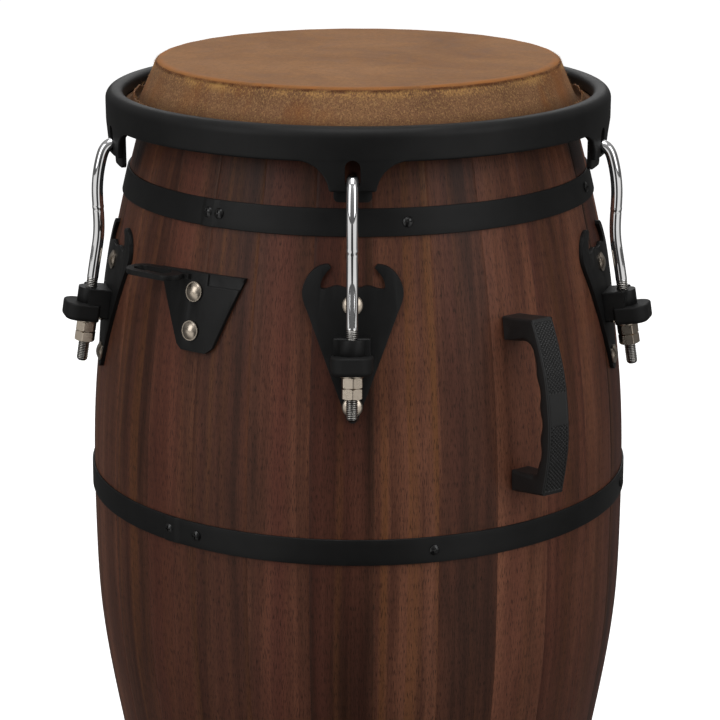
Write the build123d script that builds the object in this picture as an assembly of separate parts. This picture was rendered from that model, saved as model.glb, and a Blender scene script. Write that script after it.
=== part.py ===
from build123d import *
import math
import os

# Conga drum: one free-standing drum with a stave shell, three steel bands,
# a rawhide head held down by a steel rim, and five hooked tension rods that
# run down to lugs on the shell.
# Frame: origin at the centre of the floor contact, +Z up, +Y away from the
# player, lug 1 on the -Y side. Millimetres. Azimuths are in degrees from -Y,
# counter-clockwise seen from above.
# Each local piece is modelled with its radial direction on +X and then turned
# to its azimuth.

os.makedirs("parts", exist_ok=True)

# ---------------------------------------------------------------- dimensions
GAP = 0.05                 # air between neighbouring pieces
TIGHT_GAP = 0.03           # the same, for close-fitted pieces
FASTENER_GAP = 0.04        # the same, under bolt heads and inner nuts

CROWN_Z = 713.0            # playing surface above the floor
SKIN = 2.0                 # rawhide thickness on top
FOOT_FLOOR_Z = 8.0         # ledge in the foot that carries the wood

# Shell
WALL = 11.0                # stave thickness
STAVES = 28
STAVE_START = -8.07        # azimuth of the first seam
GLUE_GAP = 0.03            # glue line between two staves
GLUE_GAP_R = 190.0         # radius at which the glue line is measured
SHELL_BOTTOM = FOOT_FLOOR_Z + GAP
SHELL_TOP = CROWN_Z - SKIN - GAP       # bearing edge
OUTER_EASE_Z = 700.0       # the outside rounds in above this height
OUTER_EASE = 3.0
INNER_EASE_Z = 690.0       # the wall thins above this height
INNER_EASE = 4.0

DATUM_Z = 711.0
# (depth below DATUM_Z, outer radius of the wood)
PROFILE = [(-3, 141.0), (20, 148.1), (45, 155.6), (75, 163.8), (110, 172.3),
           (150, 180.8), (195, 188.0), (245, 193.2), (300, 195.3),
           (350, 195.3), (395, 193.9), (440, 189.1), (480, 182.7),
           (530, 173.6), (590, 161.2), (650, 147.9), (703, 135.6)]

# Bands
BAND_T = 1.5
BAND_H = 18.0
BAND_SLIT = 0.12           # open seam, degrees
LOW_SCREWS = (-39.4, -32.3, 16.6, 76.6, 136.6, 196.6, 256.6)
# name: (top height, seam azimuth, screw azimuths)
BANDS = {
    "upper": (637.4, -32.6, (-34.9, -31.8, 12.8, 73.1, 133.0, 193.0, 253.0)),
    "belly": (419.7, -37.1, LOW_SCREWS),
    "lower": (128.0, -37.1, LOW_SCREWS),
}

# Lug positions and bolts through the wall
LUGS = 5
LUG_AZ = [0.45 + 360.0 / LUGS * k for k in range(LUGS)]
BOLT_R = 3.0
BOLT_HOLE_R = 3.1
BOLT_HEAD_R = 6.75
BOLT_HEAD_H = 3.0
BOLT_NUT_AF = 10.0         # across flats
WASHER_T = 1.5
WASHER_STAND = 0.30        # washer clear of the curved inside wall
HANDLE_AZ = 36.0
BRACKET_AZ = -35.4
# (height, azimuth) of every bolt
PLATE_BOLTS = [(z, az) for az in LUG_AZ for z in (576.2, 510.4)]
BRACKET_BOLTS = [(z, BRACKET_AZ) for z in (576.0, 550.4)]
HANDLE_BOLTS = [(z, HANDLE_AZ) for z in (555.4, 451.6)]

# Tension rods, shared by rods, lugs and nuts
ROD_R = 4.0
ROD_TILT = math.radians(9.3)           # lower leg leans outward
SEAT_R, SEAT_Z = 200.4, 534.2          # rod axis at the underside of the lug
NUT_BORE = 4.05


# ------------------------------------------------------------------- helpers
def natural_cubic(xs, ys):
    """natural cubic spline through the knots, held constant beyond them"""
    last = len(xs) - 1
    step = [xs[i + 1] - xs[i] for i in range(last)]
    rise = [(ys[i + 1] - ys[i]) / step[i] for i in range(last)]
    ratio, partial, bend = ([0.0] * (last + 1) for _ in range(3))
    for i in range(1, last):
        pivot = 2 * (xs[i + 1] - xs[i - 1]) - step[i - 1] * ratio[i - 1]
        ratio[i] = step[i] / pivot
        partial[i] = (3 * (rise[i] - rise[i - 1]) - step[i - 1] * partial[i - 1]) / pivot
    linear, cubic = [0.0] * last, [0.0] * last
    for i in range(last - 1, -1, -1):
        bend[i] = partial[i] - ratio[i] * bend[i + 1]
        linear[i] = rise[i] - step[i] * (bend[i + 1] + 2 * bend[i]) / 3
        cubic[i] = (bend[i + 1] - bend[i]) / (3 * step[i])

    def value(x):
        x = min(max(x, xs[0]), xs[-1])
        i = 0
        while i < last - 1 and x > xs[i + 1]:
            i += 1
        t = x - xs[i]
        return ys[i] + linear[i] * t + bend[i] * t ** 2 + cubic[i] * t ** 3
    return value


profile_radius = natural_cubic([depth for depth, _ in PROFILE], [r for _, r in PROFILE])


def wood_radius(z):
    """outer radius of the wood at height z"""
    return profile_radius(DATUM_Z - z)


def slope(z):
    """angle of the outward normal above the horizontal, radians"""
    return math.atan(wood_radius(z - 0.5) - wood_radius(z + 0.5))


def wall_point(z, offset):
    """point over the wood at height z, moved out along the normal"""
    angle = slope(z)
    return (wood_radius(z) + offset * math.cos(angle), 0, z + offset * math.sin(angle))


def wall_points(z0, z1, offset, count):
    return [wall_point(z0 + (z1 - z0) * i / count, offset) for i in range(count + 1)]


def normal_plane(z, offset=0.0):
    """plane on the wood at height z, its z axis pointing outward"""
    angle = slope(z)
    return Plane(origin=wall_point(z, offset), x_dir=(0, 1, 0),
                 z_dir=(math.cos(angle), 0, math.sin(angle)))


def drill(z, radius, outward, inward):
    """cylinder along the outward normal at height z"""
    middle = Pos(0, 0, (outward - inward) / 2)
    return normal_plane(z) * middle * Cylinder(radius, outward + inward)


def strip_face(first, second):
    """face between two splines that run the same way"""
    return make_face(Wire([Spline(first), Line(first[-1], second[-1]),
                           Spline(second[::-1]), Line(second[0], first[0])]))


def centred_revolve(face, angle):
    """sector of revolution centred on +X"""
    return revolve(face, Axis.Z, angle).rotate(Axis.Z, -angle / 2)


def wood_core(z0, z1, offset):
    """everything inside the wood surface moved out by offset, centred on +X"""
    surface = wall_points(z0, z1, offset, 10)
    low, high = (120.0, 0, surface[0][2]), (120.0, 0, surface[-1][2])
    outline = Wire([Spline(surface), Line(surface[-1], high), Line(high, low),
                    Line(low, surface[0])])
    return centred_revolve(make_face(outline), 40)


# sketch plane seen along the radius: local x tangential, local y up
FACING = Plane(origin=(150, 0, 0), x_dir=(0, 1, 0), z_dir=(1, 0, 0))


def mirrored(points):
    """points mirrored across the vertical, in reverse order"""
    return [(-x, y) for x, y in points[::-1]]


def turn(shape, az):
    """turn a piece from +X to azimuth az"""
    return shape.rotate(Axis.Z, az - 90.0)


def solids_of(*shapes):
    return Compound(children=[Solid(s.wrapped) for shape in shapes for s in shape.solids()])


def largest_solid(shape):
    return Solid(sorted(shape.solids(), key=lambda s: s.volume)[-1].wrapped)


def write(name, shape):
    export_step(shape, os.path.join("parts", name + ".step"))


def write_fasteners(name, places, make):
    """write one piece make(z) for each (z, azimuth)"""
    write(name, solids_of(*[turn(make(z), az) for z, az in places]))


# ----------------------------------------------------------------- fasteners
def hexagon(across_flats, height, bore, edge):
    """hexagonal nut or bolt head standing on z = 0, its corners eased"""
    body = extrude(RegularPolygon(across_flats / 2, 6, major_radius=False), amount=height)
    narrow = across_flats / 2 - edge * 0.2
    wide = narrow + height
    base = (Align.CENTER, Align.CENTER, Align.MIN)
    body = body & Cone(wide, narrow, height, align=base) & Cone(narrow, wide, height, align=base)
    if bore:
        body = body - Cylinder(bore, height * 3)
    return body


def dome_bolt(z, stand):
    """domed head outside, shank through the wall"""
    length = stand + WALL + 8.5
    dome_r = (BOLT_HEAD_R ** 2 + BOLT_HEAD_H ** 2) / (2 * BOLT_HEAD_H)
    dome = Pos(0, 0, BOLT_HEAD_H - dome_r) * Sphere(dome_r)
    head = dome & Pos(0, 0, 2.0) * Cylinder(BOLT_HEAD_R + 1, 4.0)
    head = head + Pos(0, 0, 0.35) * Cylinder(BOLT_HEAD_R, 0.7)
    shank = Pos(0, 0, -length / 2) * Cylinder(BOLT_R, length)
    return normal_plane(z, stand) * (head + shank)


def inner_washer(z):
    ring = Cylinder(8.0, WASHER_T) - Cylinder(3.15, WASHER_T * 3)
    return normal_plane(z, -WALL - WASHER_STAND) * (Pos(0, 0, -WASHER_T / 2) * ring)


def inner_nut_plane(z):
    """plane on the inner face of the washer"""
    return normal_plane(z, -WALL - WASHER_STAND - WASHER_T - FASTENER_GAP)


def inner_nut(z):
    height = 5.0
    return inner_nut_plane(z) * Pos(0, 0, -height) * hexagon(BOLT_NUT_AF, height, 3.05, 0.4)


def handle_bolt(z):
    """hex head inside the shell, shank out into the handle"""
    head = Pos(0, 0, -4.0) * hexagon(BOLT_NUT_AF, 4.0, 0, 0.4)
    shank = Pos(0, 0, 14.0) * Cylinder(BOLT_R, 28.0)
    return inner_nut_plane(z) * (head + shank)


# --------------------------------------------------------------------- staves
def stave_blank(pitch):
    heights = [DATUM_Z - depth for depth, _ in PROFILE]
    heights = [z for z in heights if SHELL_BOTTOM + 5 < z < OUTER_EASE_Z]
    heights = sorted([SHELL_BOTTOM, 702.0, SHELL_TOP] + heights)

    def ease(z, start):
        return max(0.0, (z - start) / (SHELL_TOP - start)) ** 2

    outer = [(wood_radius(z) - OUTER_EASE * ease(z, OUTER_EASE_Z), 0, z) for z in heights]
    inner = [(wood_radius(z) - WALL + INNER_EASE * ease(z, INNER_EASE_Z), 0, z)
             for z in heights]
    gap_angle = math.degrees(GLUE_GAP / GLUE_GAP_R)
    blank = revolve(strip_face(outer, inner), Axis.Z, pitch - gap_angle)
    return blank.rotate(Axis.Z, gap_angle / 2)


def drilled_staves():
    pitch = 360.0 / STAVES
    blank = stave_blank(pitch)
    through = PLATE_BOLTS + BRACKET_BOLTS + HANDLE_BOLTS
    pilots = [(top - BAND_H / 2, az) for top, _, screw_azs in BANDS.values()
              for az in screw_azs]
    staves = []
    for i in range(STAVES):
        start = STAVE_START + pitch * i

        def near(az, reach):
            away = (az - start - pitch / 2 + 180.0) % 360.0 - 180.0
            return abs(away) < pitch / 2 + reach

        cutters = [turn(drill(z, BOLT_HOLE_R, 6, 20), az) for z, az in through
                   if near(az, 2.0)]
        cutters += [turn(drill(z, 1.35, 6, 9.2), az) for z, az in pilots if near(az, 1.2)]
        stave = turn(blank, start)
        if cutters:
            stave = stave - cutters
        staves.append(largest_solid(stave))
    return staves


write("shell_staves", solids_of(*drilled_staves()))


# ---------------------------------------------------------------------- bands
def band_ring(top, seam_az, screw_azs):
    low = top - BAND_H
    face = strip_face(wall_points(low, top, GAP, 4), wall_points(low, top, GAP + BAND_T, 4))
    band = revolve(face, Axis.Z, 360.0 - BAND_SLIT).rotate(Axis.Z, BAND_SLIT / 2)
    band = turn(band, seam_az)
    for az in screw_azs:
        band = band - turn(drill(top - BAND_H / 2, 1.4, 6, 6), az)
    return band


def band_screw(z):
    """domed cross-head screw"""
    head = Sphere(5.2).moved(Location((0, 0, -3.1)))
    head = head & Pos(0, 0, 1.2) * Cylinder(3.6, 2.4)
    cross = Box(4.2, 0.9, 1.6) + Box(0.9, 4.2, 1.6)
    head = head - Pos(0, 0, 1.9) * cross
    shank = Pos(0, 0, -5.0) * Cylinder(1.3, 10.0)
    return normal_plane(z, GAP + BAND_T + TIGHT_GAP) * (head + shank)


for name, (top, seam_az, screw_azs) in BANDS.items():
    write(name + "_band", band_ring(top, seam_az, screw_azs))
    places = [(top - BAND_H / 2, az) for az in screw_azs]
    write_fasteners(name + "_band_screws", places, band_screw)


# ----------------------------------------------------------------------- foot
def rubber_foot():
    clear = 0.06               # between rubber and the outside of the wood
    bottom_r = wood_radius(SHELL_BOTTOM)
    inside_r = bottom_r - WALL - 0.25
    section_points = [
        (bottom_r + 2.2, 0.0), (bottom_r + 4.0, 2.2), (wood_radius(12.0) + 4.2, 12.0),
        (wood_radius(19.0) + 3.2, 20.5), (wood_radius(20.0) + 0.7, 21.3),
        (wood_radius(21.0) + clear, 21.0), (wood_radius(14.0) + clear, 14.0),
        (bottom_r + clear, FOOT_FLOOR_Z), (inside_r, FOOT_FLOOR_Z), (inside_r, 14.0),
        (inside_r - 2.4, 14.0), (inside_r - 3.4, 2.2), (inside_r - 1.6, 0.0)]
    points = [(r, 0, z) for r, z in section_points]
    return revolve(make_face(Polyline(points + points[:1])), Axis.Z, 360)


write("rubber_foot", rubber_foot())

# ------------------------------------------------------------------------ rim
RIM_R = 179.5              # outside of the rim
RIM_TOP = 693.0
RIM_BOTTOM = 670.6
RIM_LIP_R = 166.7          # inside edge of the lip that presses the hoop
RIM_LIP_Z = 682.95
RIM_CHANNEL_R = 173.05     # wall of the channel that takes the hoop
TAB_R = 179.0              # outside of the five tabs
TAB_T = 4.2
SEAT_PLATE_T = 3.1         # backing plate that carries the hook
SEAT_PLATE_W = 25.0
SEAT_PLATE_BOTTOM = 643.7
SEAT_PLATE_TOP = 668.0
SLOT_W = 10.2
SLOT_TOP = 672.0
SLOT_BOTTOM = 653.4
# +Y side of a tab, from the rim down: (tangential, height)
TAB_SIDE = [(33.0, 672.2), (28.5, 670.8), (24.6, 669.0), (21.2, 665.8), (18.0, 661.4),
            (15.8, 656.4), (14.4, 651.3)]


def rim_ring():
    with BuildSketch(Plane.XZ) as outline:
        with BuildLine():
            Line((RIM_LIP_R, RIM_LIP_Z), (RIM_LIP_R, 688.0))
            ThreePointArc((RIM_LIP_R, 688.0), (168.1, 691.6), (171.7, RIM_TOP))
            Line((171.7, RIM_TOP), (173.0, RIM_TOP))
            ThreePointArc((173.0, RIM_TOP), (177.6, 691.1), (RIM_R, 686.5))
            Line((RIM_R, 686.5), (RIM_R, 672.1))
            ThreePointArc((RIM_R, 672.1), (179.06, 671.04), (178.0, RIM_BOTTOM))
            Line((178.0, RIM_BOTTOM), (RIM_CHANNEL_R, RIM_BOTTOM))
            Line((RIM_CHANNEL_R, RIM_BOTTOM), (RIM_CHANNEL_R, RIM_LIP_Z))
            Line((RIM_CHANNEL_R, RIM_LIP_Z), (RIM_LIP_R, RIM_LIP_Z))
        make_face()
    return revolve(outline.sketch, Axis.Z, 360)


def upright_layer(outer_r, thickness, middle_z, height):
    """sector of an upright ring, centred on +X"""
    with BuildSketch(Plane.XZ) as outline:
        with Locations((outer_r - thickness / 2, middle_z)):
            Rectangle(thickness, height)
    return centred_revolve(outline.sketch, 40)


def rim_tab():
    left_side = mirrored(TAB_SIDE)
    with BuildSketch(FACING) as outline:
        with BuildLine():
            Line(left_side[-1], TAB_SIDE[0])
            Spline(TAB_SIDE)
            Line(TAB_SIDE[-1], left_side[0])
            Spline(left_side)
        make_face()
    return upright_layer(TAB_R, TAB_T, 660.0, 26.0) & extrude(outline.sketch, 60)


def hook_slot():
    """cutter for the upright slot that takes the hook"""
    with BuildSketch(FACING) as outline:
        with Locations((0, (SLOT_TOP + SLOT_BOTTOM) / 2)):
            SlotOverall(SLOT_TOP - SLOT_BOTTOM, SLOT_W, rotation=90)
    return extrude(outline.sketch, 40)


def seat_plate():
    with BuildSketch(FACING) as outline:
        with Locations((0, (SEAT_PLATE_TOP + SEAT_PLATE_BOTTOM) / 2)):
            RectangleRounded(SEAT_PLATE_W, SEAT_PLATE_TOP - SEAT_PLATE_BOTTOM, 3.5)
    layer = upright_layer(TAB_R - TAB_T - TIGHT_GAP, SEAT_PLATE_T, 656.0, 28.0)
    return (layer & extrude(outline.sketch, 60)) - hook_slot()


def rim_with_tabs():
    rim = rim_ring()
    tab = rim_tab()
    slot = hook_slot()
    for az in LUG_AZ:
        rim = rim + turn(tab, az)
    for az in LUG_AZ:
        rim = rim - turn(slot, az)
    return rim


write("rim", solids_of(rim_with_tabs()))
seat = seat_plate()
write("hook_seat_plates", solids_of(*[turn(seat, az) for az in LUG_AZ]))

# ----------------------------------------------------------- hoop and rawhide
HOOP_R = 165.0             # centre of the round bar
HOOP_BAR_R = 3.6
HOOP_Z = 677.6
SKIN_WRAP = 1.2            # thickness where the skin is folded round the hoop
WRAP_START = 215.0         # angles round the bar, degrees
WRAP_SWEEP = 245.0
WRAP_STEPS = 16
# centre line of the skin: (radius, height, half thickness)
# from the flat crown over the bearing edge and down the collar
SKIN_COLLAR = [(140.5, 712.0, 1.0), (142.2, 711.35, 1.0), (143.3, 709.6, 1.0),
               (144.9, 705.6, 0.98), (147.2, 700.0, 0.95), (149.9, 694.0, 0.90),
               (152.6, 688.4, 0.80), (155.3, 683.6, 0.70), (158.3, 679.2, 0.64)]
# the tail leaves the hoop's top and stands between collar and lip
SKIN_TAIL = [(162.5, 682.0, 0.5), (161.3, 683.1, 0.45), (160.7, 685.2, 0.42),
             (160.2, 690.0, 0.40)]


def flesh_hoop():
    with BuildSketch(Plane.XZ) as outline:
        with Locations((HOOP_R, HOOP_Z)):
            Circle(HOOP_BAR_R)
    return revolve(outline.sketch, Axis.Z, 360)


def drum_head():
    wrap_r = HOOP_BAR_R + 0.06 + SKIN_WRAP / 2
    centre = list(SKIN_COLLAR)
    for i in range(WRAP_STEPS + 1):
        angle = math.radians(WRAP_START + i * WRAP_SWEEP / WRAP_STEPS)
        centre.append((HOOP_R + wrap_r * math.cos(angle), HOOP_Z + wrap_r * math.sin(angle),
                       SKIN_WRAP / 2))
    centre += SKIN_TAIL
    # the two faces of the skin, offset square to the centre line
    over, under = [], []
    for i, (r, z, half) in enumerate(centre):
        r0, z0, _ = centre[max(i - 1, 0)]
        r1, z1, _ = centre[min(i + 1, len(centre) - 1)]
        length = math.hypot(r1 - r0, z1 - z0)
        shift_r = -(z1 - z0) / length * half
        shift_z = (r1 - r0) / length * half
        over.append((r + shift_r, 0, z + shift_z))
        under.append((r - shift_r, 0, z - shift_z))
    # the crown starts level
    over[0] = (centre[0][0], 0, CROWN_Z)
    under[0] = (centre[0][0], 0, CROWN_Z - SKIN)
    outline = Polyline([(0, 0, CROWN_Z)] + over + under[::-1]
                       + [(0, 0, CROWN_Z - SKIN), (0, 0, CROWN_Z)])
    return revolve(make_face(outline), Axis.Z, 360)


write("flesh_hoop", flesh_hoop())
write("drum_head", drum_head())

# ---------------------------------------------------------------------- rods
HOOK_END_R = 169.4         # inner end of the hook
HOOK_Z = 659.5             # hook leg through the tab
ROD_TIP_Z = 505.2
ROD_TIP_R = SEAT_R + (SEAT_Z - ROD_TIP_Z) * math.tan(ROD_TILT)
# corners of the rod's centre line: (radius, height)
ROD_CORNERS = [(HOOK_END_R, HOOK_Z), (184.4, HOOK_Z), (190.15, 632.5), (189.78, 599.05),
               (ROD_TIP_R, ROD_TIP_Z)]
ROD_BENDS = [10.2, 90.0, 75.0]         # bend radius at each inner corner


def bent_path(points, radii):
    """lines joined by arcs, one bend radius for each inner point (r, z)"""
    parts = []
    here = points[0]
    for before, corner, after, radius in zip(points, points[1:], points[2:], radii):
        (x0, z0), (x1, z1), (x2, z2) = before, corner, after
        back_len, on_len = math.hypot(x0 - x1, z0 - z1), math.hypot(x2 - x1, z2 - z1)
        back = ((x0 - x1) / back_len, (z0 - z1) / back_len)
        onward = ((x2 - x1) / on_len, (z2 - z1) / on_len)
        half = math.acos(back[0] * onward[0] + back[1] * onward[1]) / 2
        trim = radius / math.tan(half)
        start = (x1 + back[0] * trim, z1 + back[1] * trim)
        end = (x1 + onward[0] * trim, z1 + onward[1] * trim)
        bisector = (back[0] + onward[0], back[1] + onward[1])
        reach = (radius / math.sin(half) - radius) / math.hypot(*bisector)
        middle = (x1 + bisector[0] * reach, z1 + bisector[1] * reach)
        parts.append(Line((here[0], 0, here[1]), (start[0], 0, start[1])))
        parts.append(ThreePointArc((start[0], 0, start[1]), (middle[0], 0, middle[1]),
                                   (end[0], 0, end[1])))
        here = end
    parts.append(Line((here[0], 0, here[1]), (points[-1][0], 0, points[-1][1])))
    return Wire(parts)


def tension_rod():
    start = Plane(origin=(HOOK_END_R, 0, HOOK_Z), z_dir=(1, 0, 0))
    rod = sweep(start * Circle(ROD_R), path=bent_path(ROD_CORNERS, ROD_BENDS))
    # lower tip, then hook end
    rod = chamfer(rod.edges().filter_by(GeomType.CIRCLE).sort_by(Axis.Z)[0], 1.6)
    rod = chamfer(rod.edges().filter_by(GeomType.CIRCLE).sort_by(Axis.X)[0], 0.7)
    return Solid(rod.solids()[0].wrapped)


# ---------------------------------------------------------------------- lugs
# Leaning frame: origin on the rod axis under the lug, z up along the rod,
# x outward. Boss, cap and nuts are modelled in it.
LEAN = Plane(origin=(SEAT_R, 0, SEAT_Z), x_dir=(math.cos(ROD_TILT), 0, math.sin(ROD_TILT)),
             z_dir=(-math.sin(ROD_TILT), 0, math.cos(ROD_TILT)))
HOLE_CLEAR = 4.3           # clearance hole radius in boss and cap
PLATE_T = 2.8
BOSS_W = 24.0
BOSS_BACK = -30.0
BOSS_TOP = 25.0
CAP_W = 27.7
CAP_TOP = 13.5
CAP_FOOT = 1.2
BOSS_SHELF = CAP_TOP + GAP # underside of the boss over the cap
NOSE_TOP = BOSS_TOP - 0.8
SCREW_X = -8.75            # small hex screw under the boss
ROD_NUT_AF = 13.0
ROD_NUT_TURN = 8           # degrees

# Side plate outlines, left half: (tangential, height)
PLATE_EAR = [(-29.8, 572.0), (-32.4, 578.6), (-33.2, 584.2), (-31.6, 590.4),
             (-27.0, 597.6), (-21.6, 601.3), (-16.0, 602.4)]
PLATE_FORK = [(-14.3, 600.2), (-18.4, 595.6), (-20.6, 591.2), (-20.9, 587.0)]
# whole edge between the forks, and the pointed foot
PLATE_SADDLE = [(-20.9, 587.0), (-18.0, 586.8), (-10.0, 588.9), (-4.6, 587.6), (0.0, 587.1),
                (4.6, 587.6), (10.0, 588.9), (18.0, 586.8), (20.9, 587.0)]
PLATE_FOOT = [(5.3, 506.6), (3.6, 502.2), (0.0, 499.8), (-3.6, 502.2), (-5.3, 506.6)]


def span_box(x0, x1, width, z0, z1):
    """box from x0 to x1 and z0 to z1, centred across y"""
    return Pos((x0 + x1) / 2, 0, (z0 + z1) / 2) * Box(x1 - x0, width, z1 - z0)


def lug_boss():
    """block on the side plate with a round nose round the rod"""
    boss = (span_box(BOSS_BACK, 3.0, BOSS_W, BOSS_SHELF, BOSS_TOP)
            + span_box(BOSS_BACK, -5.7, BOSS_W, 5.0, BOSS_TOP)
            + Pos(0, 0, (BOSS_SHELF + NOSE_TOP) / 2) * Cylinder(9.0, NOSE_TOP - BOSS_SHELF))
    boss = chamfer(boss.edges().group_by(Axis.Z)[-1], 0.7)
    boss = boss - Cylinder(HOLE_CLEAR, 120)
    boss = boss - Pos(SCREW_X, 0, 8.5) * Cylinder(1.65, 7.4)
    return (LEAN * boss) - wood_core(470, 620, GAP + PLATE_T + TIGHT_GAP)


def lug_cap():
    """bumper under the boss, the rod passes through it"""
    cap = span_box(-5.6, 17.5, CAP_W, CAP_FOOT, CAP_TOP)
    cap = fillet(cap.edges().filter_by(Axis.Z).sort_by(Axis.X)[-2:], 9.5)
    cap = fillet(cap.edges().filter_by(Axis.Z).sort_by(Axis.X)[:2], 2.0)
    cap = fillet(cap.edges().group_by(Axis.Z)[0], 3.2)
    cap = fillet(cap.edges().group_by(Axis.Z)[-1], 1.3)
    return LEAN * (cap - Cylinder(HOLE_CLEAR, 120))


def boss_screw():
    return LEAN * (Pos(SCREW_X, 0, 1.35) * Rot(0, 0, 30) * hexagon(6.0, 3.6, 0, 0.4)
                   + Pos(SCREW_X, 0, 8.2) * Cylinder(1.6, 6.8))


def rod_washer():
    thickness = 1.6
    base = (Align.CENTER, Align.CENTER, Align.MIN)
    ring = Cylinder(8.2, thickness, align=base) - Cylinder(NUT_BORE, thickness * 3)
    ring = Pos(0, 0, -0.45) * ring
    return LEAN * chamfer(ring.edges().filter_by(GeomType.CIRCLE).sort_by(Axis.Z)[0:1], 0.25)


def rod_nut(bottom, height):
    nut = hexagon(ROD_NUT_AF, height, NUT_BORE, 0.7)
    return LEAN * (Pos(0, 0, bottom) * Rot(0, 0, ROD_NUT_TURN) * nut)


def side_plate():
    """plate that follows the wood, with a forked top and a pointed foot"""
    right_ear, right_fork = mirrored(PLATE_EAR), mirrored(PLATE_FORK)
    with BuildSketch(FACING) as outline:
        with BuildLine():
            Line(PLATE_FOOT[-1], PLATE_EAR[0])
            Spline(PLATE_EAR)
            Line(PLATE_EAR[-1], PLATE_FORK[0])
            Spline(PLATE_FORK)
            Spline(PLATE_SADDLE)
            Spline(right_fork)
            Line(right_fork[-1], right_ear[0])
            Spline(right_ear)
            Line(right_ear[-1], PLATE_FOOT[0])
            Spline(PLATE_FOOT, tangents=[(-0.35, -0.94), (-0.35, 0.94)])
        make_face()
    face = strip_face(wall_points(490, 612, GAP, 6), wall_points(490, 612, GAP + PLATE_T, 6))
    plate = centred_revolve(face, 30) & extrude(outline.sketch, 70)
    for z, _ in PLATE_BOLTS[:2]:
        plate = plate - drill(z, BOLT_HOLE_R, 10, 10)
    return plate


rod = tension_rod()
# file name stem: shapes of one lug
lug_pieces = {
    "side_plate": [side_plate()],
    "lug_boss": [lug_boss()],
    "lug_cap": [lug_cap()],
    "tuning_nut": [rod_washer(), rod_nut(-7.55, 7.05)],
    "lock_nut": [rod_nut(-14.75, 7.1)],
}
for number, az in enumerate(LUG_AZ, 1):
    write("tension_rod_%d" % number, turn(rod, az))
    for stem, shapes in lug_pieces.items():
        write("%s_%d" % (stem, number), solids_of(*[turn(shape, az) for shape in shapes]))

screw = boss_screw()
write("lug_boss_screws", solids_of(*[turn(screw, az) for az in LUG_AZ]))
write_fasteners("side_plate_bolts", PLATE_BOLTS,
                lambda z: dome_bolt(z, GAP + PLATE_T + FASTENER_GAP))
write_fasteners("side_plate_washers", PLATE_BOLTS, inner_washer)
write_fasteners("side_plate_bolt_nuts", PLATE_BOLTS, inner_nut)

# -------------------------------------------------------------------- handle
HANDLE_W = 17.2
HANDLE_T = 12.0            # mean thickness of the grip
GRIP_WAVE = 0.9            # finger waves on the inside: height, pitch, one trough
WAVE_PITCH = 20.7
WAVE_Z = 529.0
GRIP_TOP, GRIP_BOTTOM = 541.0, 466.0
GRIP_STEPS = 16
# outer edge from the top down: (radius, height)
HANDLE_OUTER = [(212.7, 566.6), (218.0, 556.2), (223.5, 543.2), (228.0, 530.6),
                (231.3, 515.5), (233.1, 502.5), (233.8, 489.5), (233.0, 474.5),
                (230.9, 462.0), (228.3, 449.5)]


def grip_inside():
    """wavy inner edge of the grip, from the top down"""
    outer_radius = natural_cubic([-z for _, z in HANDLE_OUTER], [r for r, _ in HANDLE_OUTER])
    points = []
    for i in range(GRIP_STEPS + 1):
        z = GRIP_TOP - i * (GRIP_TOP - GRIP_BOTTOM) / GRIP_STEPS
        wave = GRIP_WAVE * math.cos(2 * math.pi * (z - WAVE_Z) / WAVE_PITCH)
        points.append((outer_radius(-z) - HANDLE_T - wave, z))
    return points


def side_handle():
    inside = grip_inside()
    upper_root = (inside[0][0] - 8.0, 549.6)
    lower_root = (inside[-1][0] - 5.0, 460.6)
    with BuildSketch(Plane.XZ) as outline:
        with BuildLine():
            Line((170.0, 561.8), HANDLE_OUTER[0])
            Spline(HANDLE_OUTER)
            Line(HANDLE_OUTER[-1], (186.0, 442.4))
            Line((186.0, 442.4), (186.0, 458.4))
            Line((186.0, 458.4), lower_root)
            Spline([lower_root, inside[-1]], tangents=[(1, 0.13), (0.0, 1)])
            Spline(inside[::-1], tangents=[(0.0, 1), (-0.35, 0.94)])
            Spline([inside[0], upper_root], tangents=[(-0.35, 0.94), (-1, -0.1)])
            Line(upper_root, (170.0, 546.0))
            Line((170.0, 546.0), (170.0, 561.8))
        make_face()
    handle = extrude(outline.sketch, HANDLE_W / 2, both=True)
    handle = handle - wood_core(420, 600, GAP)
    for z, _ in HANDLE_BOLTS:
        handle = handle - drill(z, 3.05, 18.0, 4.0)
    long_edges = handle.edges().filter_by(lambda e: abs(e.center().Y) > HANDLE_W / 2 - 0.01
                                          and e.center().X > 205 and e.length > 30)
    # the fillet can fail along the wavy edges; the handle then stays sharp
    try:
        handle = fillet(long_edges, 1.6)
    except Exception:
        pass
    return handle


write("handle", solids_of(turn(side_handle(), HANDLE_AZ)))
write_fasteners("handle_bolts", HANDLE_BOLTS, handle_bolt)
write_fasteners("handle_washers", HANDLE_BOLTS, inner_washer)

# -------------------------------------------------------- accessory bracket
BRACKET_T = 3.2
CONE_LOW, CONE_HIGH = 536.0, 591.0     # heights where the cone takes its slope
CONE_SLOPE = (wood_radius(CONE_HIGH) - wood_radius(CONE_LOW)) / (CONE_HIGH - CONE_LOW)
# most that the wood bulges beyond the straight cone
CONE_BULGE = max(wood_radius(CONE_LOW + 0.5 * i) - (wood_radius(CONE_LOW) + CONE_SLOPE * 0.5 * i)
                 for i in range(111))
# (tangential, height)
BRACKET_OUTLINE = [(-34.5, 588.0), (-10.0, 589.6), (38.0, 589.6), (18.6, 541.2),
                   (13.5, 537.4), (-7.0, 537.4), (-11.6, 540.6), (-34.5, 588.0)]


def cone_layer(inside, outside):
    """straight conical layer over the wood, between two offsets"""
    def corner(z, offset):
        r = wood_radius(CONE_LOW) + CONE_SLOPE * (z - CONE_LOW) + CONE_BULGE + GAP + offset
        return (r, 0, z)

    low, high = 528.0, 600.0
    outline = Polyline(corner(low, inside), corner(low, outside), corner(high, outside),
                       corner(high, inside), corner(low, inside))
    return centred_revolve(make_face(outline), 40)


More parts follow.
